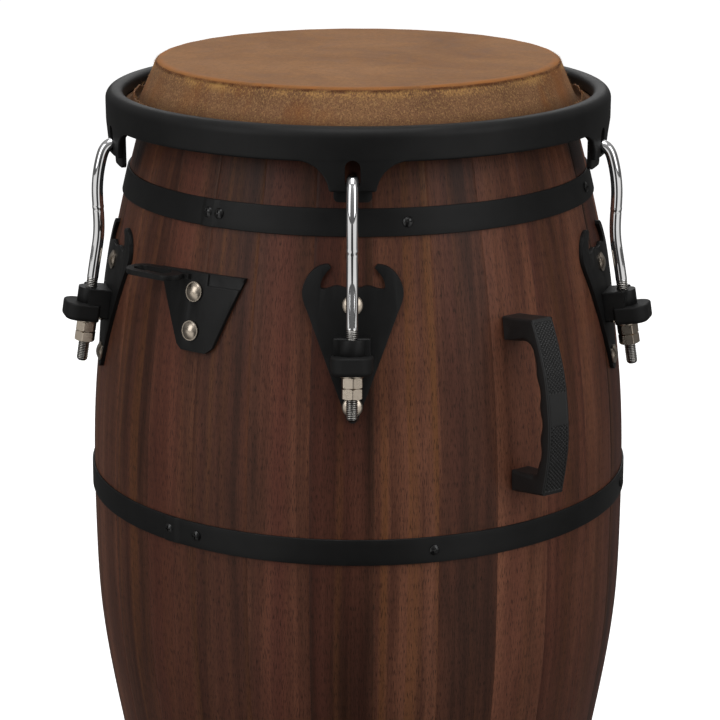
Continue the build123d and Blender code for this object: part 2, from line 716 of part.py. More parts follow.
def bracket_loop():
    """flat loop that stands out from the plate's top left corner, seen from outside"""
    with BuildSketch(Plane.XY.offset(584.4)) as outline:
        with Locations((184.6, -31.5)):
            SlotOverall(45.0, 21.0, rotation=90)
        with Locations((184.6, -33.8)):
            SlotOverall(30.4, 11.0, rotation=90, mode=Mode.SUBTRACT)
        with Locations((178.6, -12.0)):
            Rectangle(6.4, 14.0)
    return extrude(outline.sketch, 3.6) - cone_layer(-60.0, 1.6)


def accessory_bracket():
    with BuildSketch(FACING) as outline:
        with BuildLine():
            Polyline(BRACKET_OUTLINE)
        make_face()
    bracket = cone_layer(0.0, BRACKET_T) & extrude(outline.sketch, 70)
    # pressed step along the upper right edge
    with BuildSketch(FACING) as step:
        with Locations((23.5, 586.6)):
            Rectangle(27.0, 9.4)
    bracket = bracket - (cone_layer(1.9, 9.0) & extrude(step.sketch, 70))
    bracket = bracket + bracket_loop()
    for z, _ in BRACKET_BOLTS:
        bracket = bracket - drill(z, BOLT_HOLE_R, 10, 10)
    return largest_solid(bracket)


write("accessory_bracket", turn(accessory_bracket(), BRACKET_AZ))
write_fasteners("bracket_bolts", BRACKET_BOLTS,
                lambda z: dome_bolt(z, GAP + CONE_BULGE + BRACKET_T + 0.1))
write_fasteners("bracket_washers", BRACKET_BOLTS, inner_washer)
write_fasteners("bracket_bolt_nuts", BRACKET_BOLTS, inner_nut)
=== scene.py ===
# A tall hand drum with a bulging stave shell, three steel bands, a rawhide head under a
# steel rim, five hooked tension rods and a carry handle.
# It stands upright: foot on z = 0, axis on Z, playing surface 713 mm up. Sizes are in mm
# and become metres when points are placed. Azimuth is in degrees: 0 faces the camera (-Y)
# and it grows towards +X.
import math
import random

import bmesh
import bpy
import numpy as np
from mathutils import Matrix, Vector


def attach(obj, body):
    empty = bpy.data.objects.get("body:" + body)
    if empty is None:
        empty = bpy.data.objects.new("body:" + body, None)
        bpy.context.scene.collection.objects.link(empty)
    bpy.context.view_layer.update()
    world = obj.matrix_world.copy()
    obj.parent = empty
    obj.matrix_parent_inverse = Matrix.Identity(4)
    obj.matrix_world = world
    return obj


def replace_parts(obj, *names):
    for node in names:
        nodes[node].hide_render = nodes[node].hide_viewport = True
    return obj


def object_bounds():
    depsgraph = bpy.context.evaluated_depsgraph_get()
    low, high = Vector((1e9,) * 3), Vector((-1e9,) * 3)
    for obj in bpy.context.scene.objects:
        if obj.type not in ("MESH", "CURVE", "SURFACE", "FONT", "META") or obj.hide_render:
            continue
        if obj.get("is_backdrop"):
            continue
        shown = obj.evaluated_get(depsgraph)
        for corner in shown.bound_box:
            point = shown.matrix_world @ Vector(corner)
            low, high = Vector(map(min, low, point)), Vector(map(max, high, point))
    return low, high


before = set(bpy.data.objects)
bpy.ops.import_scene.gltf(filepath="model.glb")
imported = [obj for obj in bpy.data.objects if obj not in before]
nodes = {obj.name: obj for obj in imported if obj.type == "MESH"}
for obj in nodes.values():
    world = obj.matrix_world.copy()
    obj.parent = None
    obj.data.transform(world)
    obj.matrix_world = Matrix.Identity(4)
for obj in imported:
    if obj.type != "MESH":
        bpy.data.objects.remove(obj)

cad_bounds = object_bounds()
rng = np.random.default_rng(7)
random.seed(7)

MM = 0.001
CROWN = 711.0           # height that the shell profile is measured down from
HEAD_TOP = 713.0        # playing surface
SHELL_BASE = 8.05       # lower end of the staves
SHELL_TOP = 710.95      # upper end of the staves
WALL = 11.0             # stave thickness
LUGS = 5
LUG_AZIMUTHS = [0.45 + 360.0 / LUGS * k for k in range(LUGS)]
HANDLE_AZIMUTH = 36.0

# shell outline: depth below the crown, outer radius
PROFILE = [(-3, 141.0), (20, 148.1), (45, 155.6), (75, 163.8), (110, 172.3),
           (150, 180.8), (195, 188.0), (245, 193.2), (300, 195.3),
           (350, 195.3), (395, 193.9), (440, 189.1), (480, 182.7),
           (530, 173.6), (590, 161.2), (650, 147.9), (703, 135.6)]


# --------------------------------------------------------------------- curves
def natural_cubic(knots, values):
    """natural cubic spline through (knot, value), held constant in x beyond the ends"""
    knots, values = np.array(knots, float), np.array(values, float)
    count = len(knots)
    step = np.diff(knots)
    matrix = np.zeros((count, count))
    rhs = np.zeros(count)
    matrix[0, 0] = matrix[-1, -1] = 1
    for i in range(1, count - 1):
        matrix[i, i - 1:i + 2] = step[i - 1], 2 * (step[i - 1] + step[i]), step[i]
        rhs[i] = 3 * ((values[i + 1] - values[i]) / step[i]
                      - (values[i] - values[i - 1]) / step[i - 1])
    square = np.linalg.solve(matrix, rhs)

    def spline(x):
        x = np.clip(np.asarray(x, float), knots[0], knots[-1])
        j = np.clip(np.searchsorted(knots, x, side="right") - 1, 0, count - 2)
        along = x - knots[j]
        linear = ((values[j + 1] - values[j]) / step[j]
                  - step[j] * (square[j + 1] + 2 * square[j]) / 3)
        cubic = (square[j + 1] - square[j]) / (3 * step[j])
        return values[j] + linear * along + square[j] * along * along + cubic * along ** 3
    return spline


profile_at = natural_cubic(*zip(*PROFILE))


def shell_radius(z):
    return profile_at(CROWN - np.asarray(z, float))


def spline_points(points, count):
    """count points at even steps of chord length along a spline through points"""
    points = np.array(points, float)
    chords = np.linalg.norm(np.diff(points, axis=0), axis=1)
    stations = np.concatenate([[0], np.cumsum(chords)])
    even = np.linspace(0, stations[-1], count)
    return np.stack([natural_cubic(stations, points[:, i])(even)
                     for i in range(points.shape[1])], -1)


def round_corners(points, radii, steps):
    """closed polygon with each corner replaced by an arc of its own radius"""
    loop = []
    count = len(points)
    for i, radius in enumerate(radii):
        before, corner, after = (np.array(points[(i + k) % count], float) for k in (-1, 0, 1))
        if radius <= 0:
            loop.append(corner)
            continue
        back, ahead = before - corner, after - corner
        back_length, ahead_length = np.linalg.norm(back), np.linalg.norm(ahead)
        back, ahead = back / back_length, ahead / ahead_length
        half = math.acos(np.clip(back @ ahead, -1, 1)) / 2
        trim = min(radius / math.tan(half), 0.48 * back_length, 0.48 * ahead_length)
        fitted = trim * math.tan(half)
        bisector = (back + ahead) / np.linalg.norm(back + ahead)
        centre = corner + bisector * fitted / math.sin(half)
        start = math.atan2(*(corner + back * trim - centre)[::-1])
        end = math.atan2(*(corner + ahead * trim - centre)[::-1])
        turn = (end - start + math.pi) % (2 * math.pi) - math.pi
        for k in range(steps + 1):
            angle = start + turn * k / steps
            loop.append(centre + fitted * np.array([math.cos(angle), math.sin(angle)]))
    return loop


def quarter_arc(centre, start, end, steps):
    """inner points of a quarter turn; start and end are offsets from the centre"""
    angles = [k / steps * math.pi / 2 for k in range(1, steps)]
    return [tuple(c + s * math.cos(a) + e * math.sin(a) for c, s, e in zip(centre, start, end))
            for a in angles]


# --------------------------------------------------------------------- placing
def polar(radius, z, azimuth):
    """cylindrical mm and degrees -> metres"""
    angle = np.radians(azimuth)
    return np.stack([radius * np.sin(angle), -radius * np.cos(angle), z + 0 * radius], -1) * MM


def compass(azimuth):
    """radial and tangential unit vectors at an azimuth"""
    angle = math.radians(azimuth)
    return (np.array([math.sin(angle), -math.cos(angle), 0.0]),
            np.array([math.cos(angle), math.sin(angle), 0.0]))


def local_to_world(x, y, z, azimuth):
    """x radial, y tangential, z up (mm) at an azimuth -> metres"""
    radial, tangent = compass(azimuth)
    x, y, z = (np.asarray(v, float) for v in (x, y, z))
    return (x[..., None] * radial + y[..., None] * tangent
            + z[..., None] * np.array([0, 0, 1.0])) * MM


def spin(section, segments):
    """radius and height grids of an (r, z) section turned round the axis, and azimuths"""
    section = np.array(section, float)
    azimuth = (np.arange(segments) * 360.0 / segments)[:, None]
    return (np.repeat(section[None, :, 0], segments, 0),
            np.repeat(section[None, :, 1], segments, 0), azimuth)


# --------------------------------------------------------------------- meshes
def grid_faces(rows, columns, wrap_rows=False, wrap_columns=False, base=0, flip=False):
    i = np.arange(rows if wrap_rows else rows - 1)
    j = np.arange(columns if wrap_columns else columns - 1)
    row, column = np.meshgrid(i, j, indexing="ij")
    next_row, next_column = (row + 1) % rows, (column + 1) % columns
    quads = np.stack([row * columns + column, next_row * columns + column,
                      next_row * columns + next_column, row * columns + next_column], -1)
    quads = quads.reshape(-1, 4) + base
    return quads[:, ::-1] if flip else quads


def make_mesh(name, verts, faces):
    mesh = bpy.data.meshes.new(name)
    mesh.from_pydata([tuple(v) for v in np.asarray(verts, float)], [],
                     [tuple(f) for f in faces])
    return mesh


def link_object(name, data):
    ob = bpy.data.objects.new(name, data)
    bpy.context.scene.collection.objects.link(ob)
    return ob


def shade_smooth(mesh):
    mesh.polygons.foreach_set("use_smooth", [True] * len(mesh.polygons))


def new_object(name, verts, faces, body, material, angle=None, smooth=True):
    """object riding on a body; edges sharper than angle (degrees) stay hard"""
    mesh = make_mesh(name, verts, faces)
    mesh.validate()
    mesh.update()
    if smooth:
        shade_smooth(mesh)
    if angle is not None:
        mesh.set_sharp_from_angle(angle=math.radians(angle))
    ob = link_object(name, mesh)
    mesh.materials.append(material)
    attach(ob, body)
    return ob


def face_outward(mesh, split_ngons=False):
    bm = bmesh.new()
    bm.from_mesh(mesh)
    bmesh.ops.recalc_face_normals(bm, faces=bm.faces)
    if split_ngons:
        bmesh.ops.triangulate(bm, faces=[f for f in bm.faces if len(f.verts) > 4])
    bm.to_mesh(mesh)
    bm.free()


def add_attribute(mesh, name, values):
    attribute = mesh.attributes.new(name, "FLOAT", "POINT")
    attribute.data.foreach_set("value", np.array(values, np.float32).ravel())


def revolve(name, section, material, segments, angle, reshape=None):
    """closed (r, z) loop turned round the axis; reshape may alter the radii"""
    radii, heights, azimuth = spin(section, segments)
    if reshape is not None:
        radii = reshape(radii, heights, azimuth)
    verts = polar(radii, heights, azimuth).reshape(-1, 3)
    faces = grid_faces(segments, len(section), True, True)
    return new_object(name, verts, faces, "drum_shell", material, angle)


# ------------------------------------------------------------------ node wiring
class NodeNet:
    """wires shader nodes in one emptied tree"""

    def __init__(self, owner):
        owner.use_nodes = True
        self.tree = owner.node_tree
        self.tree.nodes.clear()

    def node(self, kind, inputs=None, **settings):
        node = self.tree.nodes.new("ShaderNode" + kind)
        for key, value in settings.items():
            setattr(node, key, value)
        self.fill(node, inputs or {})
        return node

    def put(self, socket, value):
        if isinstance(value, bpy.types.NodeSocket):
            self.tree.links.new(value, socket)
        else:
            socket.default_value = value

    def fill(self, node, inputs):
        for key, value in inputs.items():
            self.put(node.inputs[key], value)

    def math(self, operation, a, b=0.0, clamp=False):
        return self.node("Math", {0: a, 1: b}, operation=operation, use_clamp=clamp).outputs[0]

    def add(self, a, b):
        return self.math("ADD", a, b)

    def sub(self, a, b):
        return self.math("SUBTRACT", a, b)

    def mul(self, a, b):
        return self.math("MULTIPLY", a, b)

    def weighted(self, *terms):
        """sum of (value, weight) terms"""
        total = self.mul(*terms[0])
        for value, weight in terms[1:]:
            total = self.add(total, self.mul(value, weight))
        return total

    def vector(self, operation, a, b, slot=1):
        return self.node("VectorMath", {0: a, slot: b}, operation=operation).outputs[0]

    def split(self, vector):
        return list(self.node("SeparateXYZ", {0: vector}).outputs)

    def coords(self):
        return self.node("TexCoord").outputs["Object"]

    def attribute(self, name):
        return self.node("Attribute", attribute_name=name).outputs["Fac"]

    def map(self, vector, scale=(1, 1, 1), shift=(0, 0, 0)):
        return self.node("Mapping", {"Vector": vector, "Scale": scale,
                                     "Location": shift}).outputs[0]

    def noise(self, vector, scale, detail, rough, distort=0.0, output=0):
        """output 0 is the value, 1 the colour"""
        return self.node("TexNoise", {"Vector": vector, "Scale": scale, "Detail": detail,
                                      "Roughness": rough, "Distortion": distort}).outputs[output]

    def ramp(self, value, stops):
        node = self.node("ValToRGB", {0: value})
        elements = node.color_ramp.elements
        while len(elements) < len(stops):
            elements.new(0.5)
        for i, (position, colour) in enumerate(stops):
            elements[i].position = position
            elements[i].color = (*colour, 1)
        return node.outputs[0]

    def remap(self, value, span, to=(0.0, 1.0)):
        """span of the value spread linearly over to, and clamped"""
        inputs = dict(enumerate((value, *span, *to)))
        return self.node("MapRange", inputs, clamp=True).outputs[0]

    def mix(self, amount, under, over):
        under, over = (c if isinstance(c, bpy.types.NodeSocket) else (*c, 1)
                       for c in (under, over))
        return self.node("Mix", {0: amount, 6: under, 7: over},
                         data_type="RGBA", blend_type="MIX").outputs[2]

    def bump(self, height, strength, distance):
        return self.node("Bump", {"Strength": strength, "Distance": distance,
                                  "Height": height}).outputs[0]

    def emission(self, colour, strength):
        return self.node("Emission", {0: colour, 1: strength}).outputs[0]

    def ray_switch(self, ray, other, matching):
        """one shader for the named kind of ray, another for the rest"""
        is_ray = self.node("LightPath").outputs[ray]
        return self.node("MixShader", {0: is_ray, 1: other, 2: matching}).outputs[0]


def new_material(name):
    material = bpy.data.materials.new(name)
    net = NodeNet(material)
    bsdf = net.node("BsdfPrincipled")
    net.node("OutputMaterial", {0: bsdf.outputs[0]})
    return material, net, bsdf


def srgb(red, green, blue):
    """8-bit sRGB -> linear"""
    def linear(channel):
        channel /= 255.0
        return channel / 12.92 if channel <= 0.04045 else ((channel + 0.055) / 1.055) ** 2.4
    return (linear(red), linear(green), linear(blue))


# ------------------------------------------------------------------- materials
# noise stretched along the grain: scale across and along it, detail, roughness,
# distortion, offset
GRAIN_FIELDS = {
    "broad": (38, 1.5, 2.0, 0.5, 0.0, (0, 0, 0)),
    "growth": (150, 2.6, 4.0, 0.6, 0.0, (0, 0, 0)),
    "fine": (760, 8.0, 3.0, 0.6, 0.0, (0, 0, 0)),
    "pore": (2700, 190, 2.0, 0.5, 0.0, (0, 0, 0)),
    "dash": (1800, 95, 2.0, 0.5, 0.0, (7.7, 3.1, 0)),
    "blotch": (20, 7.0, 4.0, 0.6, 0.0, (0, 0, 0)),
    "figure": (55, 4.2, 3.0, 0.5, 1.4, (1.3, 8.2, 0)),
    "gold": (95, 1.3, 2.0, 0.5, 0.0, (2.2, 5.1, 0)),
    "red": (34, 1.2, 2.0, 0.5, 0.0, (3.1, 0.7, 0)),
}


def make_wood(name, gain, roughness, lacquered):
    """gain brightens every colour; roughness is a (low, high) range"""
    material, net, bsdf = new_material(name)
    grain_uv = net.node("UVMap", uv_map="grain").outputs[0]
    tone = net.attribute("tone")
    warm = net.attribute("warm")
    # slow sideways drift, so that the grain bends and runs out like sawn boards
    drift = net.noise(net.map(grain_uv, scale=(16, 2.6, 1)),
                      scale=1.0, detail=3.0, rough=0.5, output=1)
    drift = net.vector("SUBTRACT", drift, (0.5, 0.5, 0.5))
    drift = net.vector("SCALE", drift, 0.016, slot="Scale")
    place = net.vector("ADD", grain_uv, drift)

    field = {}
    for key, (across, along, detail, rough, distort, shift) in GRAIN_FIELDS.items():
        field[key] = net.noise(net.map(place, scale=(across, along, 1), shift=shift),
                               scale=1.0, detail=detail, rough=rough, distort=distort)

    # share of the stave's own tone and of each field in the lightness
    shares = [(tone, 1.0), (field["broad"], 0.85), (field["growth"], 0.62),
              (field["fine"], 0.30), (field["blotch"], 0.45), (field["figure"], 0.45)]
    lightness = net.weighted(*[(net.sub(source, 0.5), share) for source, share in shares])
    lightness = net.add(lightness, 0.5)

    def shade(*rgb):
        return tuple(c * gain for c in srgb(*rgb))

    colour = net.ramp(lightness, [(0.05, shade(46, 27, 19)), (0.32, shade(73, 45, 34)),
                                  (0.58, shade(101, 63, 48)), (1.0, shade(154, 101, 76))])
    # golden streaks on the warm staves, wine-red ones elsewhere
    golden = net.mul(net.remap(field["gold"], span=(0.50, 0.68), to=(0, 0.85)), warm)
    colour = net.mix(golden, colour, shade(128, 82, 48))
    wine = net.mul(net.remap(field["red"], span=(0.46, 0.66), to=(0, 0.60)), net.sub(1.0, warm))
    colour = net.mix(wine, colour, shade(114, 64, 52))
    pores = net.remap(field["pore"], span=(0.55, 0.64), to=(0, 0.68))
    colour = net.mix(pores, colour, shade(26, 16, 12))
    dashes = net.remap(field["dash"], span=(0.58, 0.67), to=(0, 0.62))
    colour = net.mix(dashes, colour, shade(40, 26, 19))

    # growth lines and fine grain stand up, pores and dashes sink in
    relief = net.sub(net.mul(field["growth"], 0.4), net.mul(pores, 0.7))
    relief = net.add(relief, net.mul(field["fine"], 0.5))
    relief = net.sub(relief, net.mul(dashes, 0.5))
    net.fill(bsdf, {
        "Base Color": colour,
        "Roughness": net.remap(field["fine"], span=(0.3, 0.7), to=roughness),
        "Specular IOR Level": 0.17,
        "Normal": net.bump(relief, strength=0.30, distance=0.00020)})
    if lacquered:
        net.fill(bsdf, {"Coat Weight": 0.05, "Coat Roughness": 0.30})
    return material


def make_coat(name, base, roughness, grain, depth, specular=0.19):
    """near-black finish: base grey, roughness range, grain scale and depth (m)"""
    material, net, bsdf = new_material(name)
    coords = net.coords()
    grit = net.noise(coords, scale=grain, detail=2.0, rough=0.6)
    mottle = net.noise(coords, scale=38.0, detail=5.0, rough=0.6)
    haze = net.noise(coords, scale=9.0, detail=3.0, rough=0.5)
    dark = (base * 0.82,) * 3
    light = (base * 1.35, base * 1.33, base * 1.32)
    colour = net.mix(net.remap(mottle, span=(0.3, 0.75)), dark, light)
    # paler where edges are rubbed
    pointiness = net.node("NewGeometry").outputs["Pointiness"]
    rubbed = net.mul(net.remap(pointiness, span=(0.515, 0.60), to=(0, 0.5)),
                     net.remap(mottle, span=(0.42, 0.62)))
    net.fill(bsdf, {
        "Base Color": net.mix(rubbed, colour, (base * 3.2,) * 3),
        "Roughness": net.remap(haze, span=(0.35, 0.7), to=roughness),
        "Specular IOR Level": specular,
        "Normal": net.bump(net.weighted((grit, 1.0), (mottle, 0.35)),
                           strength=0.35, distance=depth)})
    return material


def make_metal(name, base, roughness, scratch, tint=None, groove=False):
    """scratch scales the relief; groove paints shade into the thread roots, darkening where the
    groove attribute is high
    """
    material, net, bsdf = new_material(name)
    coords = net.coords()
    scratches = net.noise(net.map(coords, scale=(900, 900, 900)),
                          scale=1.0, detail=3.0, rough=0.6)
    mottle = net.noise(coords, scale=60.0, detail=4.0, rough=0.6)
    colour = net.mix(net.remap(mottle, span=(0.3, 0.7)), tuple(c * 0.88 for c in base), base)
    if tint:
        specks = net.noise(coords, scale=420.0, detail=3.0, rough=0.7)
        colour = net.mix(net.remap(specks, span=(0.58, 0.75), to=(0, 0.6)), colour, tint)
    if groove:
        # painted shade: the thread roots are darkened to a tenth of the base colour where the
        # groove attribute is high
        depth = net.remap(net.attribute("groove"), span=(0.2, 0.75))
        colour = net.mix(depth, colour, tuple(c * 0.10 for c in base))
    net.fill(bsdf, {
        "Base Color": colour,
        "Metallic": 1.0,
        "Roughness": net.remap(mottle, span=(0.3, 0.72), to=roughness),
        "Normal": net.bump(net.add(scratches, net.mul(mottle, 0.5)),
                           strength=0.12 * scratch, distance=0.00004)})
    return material


def make_rawhide():
    """heights and radii in this material are in metres"""
    material, net, bsdf = new_material("rawhide")
    coords = net.coords()
    x, y, z = net.split(coords)
    radius = net.math("SQRT", net.add(net.math("POWER", x, 2.0), net.math("POWER", y, 2.0)))
    cloud = net.noise(net.map(coords), scale=9.0, detail=6.0, rough=0.62, distort=0.6)
    vein = net.noise(net.map(coords), scale=34.0, detail=6.0, rough=0.7, distort=1.2)
    fine = net.noise(coords, scale=420.0, detail=4.0, rough=0.7)
    speck = net.noise(coords, scale=1300.0, detail=2.0, rough=0.6)
    fleck = net.noise(net.map(coords, scale=(1, 1, 0.6)), scale=900.0, detail=3.0, rough=0.7)
    patch = net.noise(net.map(coords, scale=(1, 1, 0.8)), scale=26.0, detail=4.0, rough=0.6)
    rust = net.noise(net.map(coords, scale=(1, 1, 0.25), shift=(0.3, 0.1, 0)),
                     scale=15.0, detail=4.0, rough=0.65)

    # playing surface
    top = net.ramp(net.weighted((cloud, 0.6), (vein, 0.4)),
                   [(0.30, srgb(116, 78, 46)), (0.5, srgb(144, 101, 62)),
                    (0.70, srgb(168, 122, 80))])
    top = net.mix(net.remap(fine, span=(0.38, 0.66), to=(0.0, 0.34)), top, srgb(94, 62, 36))

    # collar: drier, golden brown, finely speckled, with fuzz under the crease
    side = net.ramp(net.weighted((cloud, 0.55), (patch, 0.45)),
                    [(0.32, srgb(104, 74, 50)), (0.5, srgb(138, 100, 72)),
                     (0.68, srgb(160, 118, 80))])
    for source, span, most, colour in (
            (fleck, (0.50, 0.62), 0.62, srgb(190, 148, 98)),
            (speck, (0.53, 0.64), 0.60, srgb(78, 52, 32)),
            (rust, (0.52, 0.64), 0.60, srgb(138, 80, 34))):
        side = net.mix(net.remap(source, span=span, to=(0.0, most)), side, colour)
    fuzz = net.mul(net.remap(z, span=(0.7045, 0.7095), to=(0.0, 1.0)),
                   net.remap(z, span=(0.7110, 0.7120), to=(1.0, 0.0)))
    fuzz = net.mul(fuzz, net.remap(net.weighted((patch, 0.5), (fleck, 0.5)),
                                   span=(0.46, 0.56), to=(0.0, 0.9)))
    side = net.mix(fuzz, side, srgb(194, 148, 88))

    # the veins make the border between collar and surface wander
    wander = net.mul(net.sub(vein, 0.5), 0.0012)
    is_top = net.remap(net.add(z, wander), span=(0.7106, 0.7118))
    colour = net.mix(is_top, side, top)
    # worn tan margin of the surface, then a dark line round the bearing edge
    lip = net.mul(net.remap(radius, span=(0.1368, 0.1392)), is_top)
    lip = net.mul(lip, net.remap(vein, span=(0.38, 0.60), to=(0.20, 0.80)))
    colour = net.mix(lip, colour, srgb(160, 102, 52))
    off_line = net.math("ABSOLUTE", net.sub(radius, 0.1434))
    ring = net.math("SUBTRACT", 1.0, net.remap(off_line, span=(0.0003, 0.0010)), clamp=True)
    ring = net.mul(ring, net.remap(vein, span=(0.40, 0.56), to=(0.30, 0.85)))
    colour = net.mix(ring, colour, srgb(78, 42, 20))
    # painted shade: darker towards the tucked lower end, where the collar sinks below the rim
    low = net.remap(z, span=(0.6860, 0.6960), to=(0.7, 0.0))
    colour = net.mix(low, colour, srgb(70, 48, 28))

    flecked_side = net.mul(fleck, net.sub(1.0, is_top))
    relief = net.weighted((vein, 0.8), (fine, 0.5), (flecked_side, 1.6))
    net.fill(bsdf, {
        "Base Color": colour,
        "Roughness": net.remap(vein, span=(0.3, 0.7), to=(0.62, 0.80)),
        "Specular IOR Level": 0.12,
        "Sheen Weight": 0.03,
        "Sheen Roughness": 0.4,
        "Subsurface Weight": 0.06,
        "Subsurface Radius": (0.004, 0.002, 0.001),
        "Subsurface Scale": 0.5,
        "Normal": net.bump(relief, strength=0.4, distance=0.0004)})
    return material


def make_fibre():
    material, net, bsdf = new_material("hide_fibre")
    mottle = net.noise(net.coords(), scale=160.0, detail=3.0, rough=0.6)
    net.fill(bsdf, {
        "Base Color": net.ramp(mottle, [(0.35, srgb(120, 74, 34)), (0.65, srgb(196, 150, 94))]),
        "Roughness": 0.7})
    return material


WOOD = make_wood("wood_lacquered", gain=1.0, roughness=(0.40, 0.52), lacquered=True)
WOOD_INNER = make_wood("wood_inner", gain=1.9, roughness=(0.62, 0.78), lacquered=False)
COAT = make_coat("black_coat", base=0.0098, roughness=(0.40, 0.52), grain=1500.0,
                 depth=0.00006)
RIM_COAT = make_coat("rim_coat", base=0.0105, roughness=(0.42, 0.52), grain=1300.0,
                     depth=0.00007)
PLASTIC = make_coat("moulded_plastic", base=0.0085, roughness=(0.40, 0.50), grain=2200.0,
                    depth=0.00003, specular=0.42)
RUBBER = make_coat("cap_rubber", base=0.0120, roughness=(0.55, 0.68), grain=900.0,
                   depth=0.00008)
BLACK_ZINC = make_coat("black_zinc", base=0.0035, roughness=(0.22, 0.30), grain=900.0,
                       depth=0.00002, specular=0.55)
CHROME = make_metal("chrome", base=(0.86, 0.86, 0.87), roughness=(0.035, 0.075), scratch=0.35)
# groove=True paints shade into the roots of the thread
THREAD = make_metal("thread_chrome", base=(0.60, 0.58, 0.55), roughness=(0.18, 0.30),
                    scratch=0.6, tint=(0.30, 0.27, 0.23), groove=True)
NICKEL = make_metal("satin_nickel", base=(0.59, 0.51, 0.42), roughness=(0.24, 0.34),
                    scratch=0.35, tint=(0.36, 0.29, 0.21))
ZINC = make_metal("zinc_steel", base=(0.55, 0.56, 0.57), roughness=(0.30, 0.42),
                  scratch=0.9, tint=(0.34, 0.33, 0.28))
HIDE = make_rawhide()
FIBRE = make_fibre()

# ----------------------------------------------------------------------- shell
STAVES = 28
STAVE_PITCH = 360.0 / STAVES
FIRST_STAVE = -8.07     # azimuth of the first joint
JOINT = 0.012           # gap between staves, degrees
JOINT_DROP = 0.10       # how far the stave edges are eased back
UV_RADIUS = 195.0       # azimuth is laid out as arc length at this radius


def build_shell():
    z = np.concatenate([[SHELL_BASE], np.linspace(9.0, 704.5, 194),
                        [706.3, 707.9, 709.2, 710.2, SHELL_TOP]])
    levels = len(z)
    # the wall is rounded in from both faces towards the top
    outer = shell_radius(z) - 3.0 * np.maximum(0, (z - 700.0) / (SHELL_TOP - 700.0)) ** 2
    inner = shell_radius(z) - WALL + 4.0 * np.maximum(0, (z - 690.0) / (SHELL_TOP - 690.0)) ** 2
    across = np.concatenate([[0.0, 0.008], np.linspace(0, 1, 15)[1:-1], [0.992, 1.0]])
    columns = len(across)
    drop = np.zeros(columns)
    drop[0] = drop[-1] = JOINT_DROP

    tones = rng.uniform(0.22, 0.74, STAVES)
    warms = rng.choice([0.1, 0.3, 0.5, 0.8], STAVES)
    # chosen values for the staves facing the camera
    tones[0:6] = [0.20, 0.56, 0.48, 0.72, 0.52, 0.62]
    tones[-5:] = [0.58, 0.42, 0.52, 0.40, 0.52]
    warms[0:6] = [0.4, 1.0, 0.5, 0.2, 0.3, 0.2]
    warms[-5:] = [0.3, 0.6, 0.2, 0.5, 0.1]

    verts, faces, uvs, tone, warmth, material_ids = [], [], [], [], [], []
    for stave in range(STAVES):
        start = FIRST_STAVE + stave * STAVE_PITCH + JOINT / 2
        end = FIRST_STAVE + (stave + 1) * STAVE_PITCH - JOINT / 2
        azimuth, height = np.meshgrid(start + (end - start) * across, z, indexing="ij")
        base = len(verts)
        size = columns * levels
        verts += list(polar(outer[None, :] - drop[:, None], height, azimuth).reshape(-1, 3))
        verts += list(polar(inner[None, :], height, azimuth).reshape(-1, 3)
                      if False else polar(inner + 0 * azimuth, height, azimuth).reshape(-1, 3))
        # each stave reads its own piece of the grain, either way up
        shift = rng.uniform(0, 40.0)
        direction = rng.choice([-1.0, 1.0])
        grain_u = (azimuth - start) * np.pi / 180 * UV_RADIUS * MM + shift
        grain_v = direction * height * MM + rng.uniform(0, 30)
        uvs += list(np.stack([grain_u, grain_v], -1).reshape(-1, 2)) * 2
        tone += [tones[stave]] * (2 * size)
        warmth += [warms[stave]] * (2 * size)

        outside = grid_faces(columns, levels, base=base)
        inside = grid_faces(columns, levels, base=base + size, flip=True)
        faces += list(outside) + list(inside)
        material_ids += [0] * len(outside) + [1] * len(inside)
        far = (columns - 1) * levels
        for j in range(levels - 1):          # the two long sides
            near_out = base + j
            near_in = near_out + size
            far_out, far_in = near_out + far, near_in + far
            faces.append((near_out, near_out + 1, near_in + 1, near_in))
            faces.append((far_out + 1, far_out, far_in, far_in + 1))
            material_ids += [0, 0]
        for i in range(columns - 1):         # lower end and bearing edge
            low = base + i * levels
            low_next = low + levels
            top, top_next = low + levels - 1, low_next + levels - 1
            faces.append((low, low + size, low_next + size, low_next))
            faces.append((top, top_next, top_next + size, top + size))
            material_ids += [1, 1]

    ob = new_object("stave_shell", verts, faces, "drum_shell", WOOD, 40)
    mesh = ob.data
    mesh.materials.append(WOOD_INNER)
    mesh.polygons.foreach_set("material_index", material_ids)
    layer = mesh.uv_layers.new(name="grain")
    loop_verts = np.zeros(len(mesh.loops), int)
    mesh.loops.foreach_get("vertex_index", loop_verts)
    layer.data.foreach_set("uv", np.array(uvs)[loop_verts].astype(np.float32).ravel())
    add_attribute(mesh, "tone", tone)
    add_attribute(mesh, "warm", warmth)
    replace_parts(ob, "shell_staves")


build_shell()

# ----------------------------------------------------------------------- bands
BAND_WIDTH = 18.0
BAND_INSIDE = 0.05      # inner and outer face, measured out from the shell
BAND_OUTSIDE = 1.55
LAP_SPAN = 3.4          # degrees of overlap beside the seam
LAP_STEP = 0.75

# object, node it replaces, height of the top edge, azimuth of the seam
BANDS = [("steel_band_upper", "upper_band", 637.4, -32.6),
         ("steel_band_belly", "belly_band", 419.7, -37.1),
         ("steel_band_lower", "lower_band", 128.0, -37.1)]


def build_band(name, node, top, seam):
    heights = top + np.linspace(-BAND_WIDTH, 0.0, 5)
    slopes = np.arctan(shell_radius(heights - 0.5) - shell_radius(heights + 0.5))

    def face(gap):
        return [(shell_radius(z) + gap * math.cos(slope), z + gap * math.sin(slope))
                for z, slope in zip(heights, slopes)]

    inner, outer = face(BAND_INSIDE), face(BAND_OUTSIDE)
    section = round_corners([inner[0]] + outer + inner[:0:-1],
                            [0.2, 0.55, 0, 0, 0, 0.55, 0.2, 0, 0, 0], 3)

    def lap(radii, z, azimuth):
        from_seam = (azimuth - seam + 180.0) % 360.0 - 180.0
        step = np.where((from_seam > -LAP_SPAN) & (from_seam < 0.0), LAP_STEP, 0.0)
        return radii + np.where(radii > shell_radius(z) + 0.8, step, 0.0)

    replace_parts(revolve(name, section, COAT, 720, 30, lap), node)


for band in BANDS:
    build_band(*band)


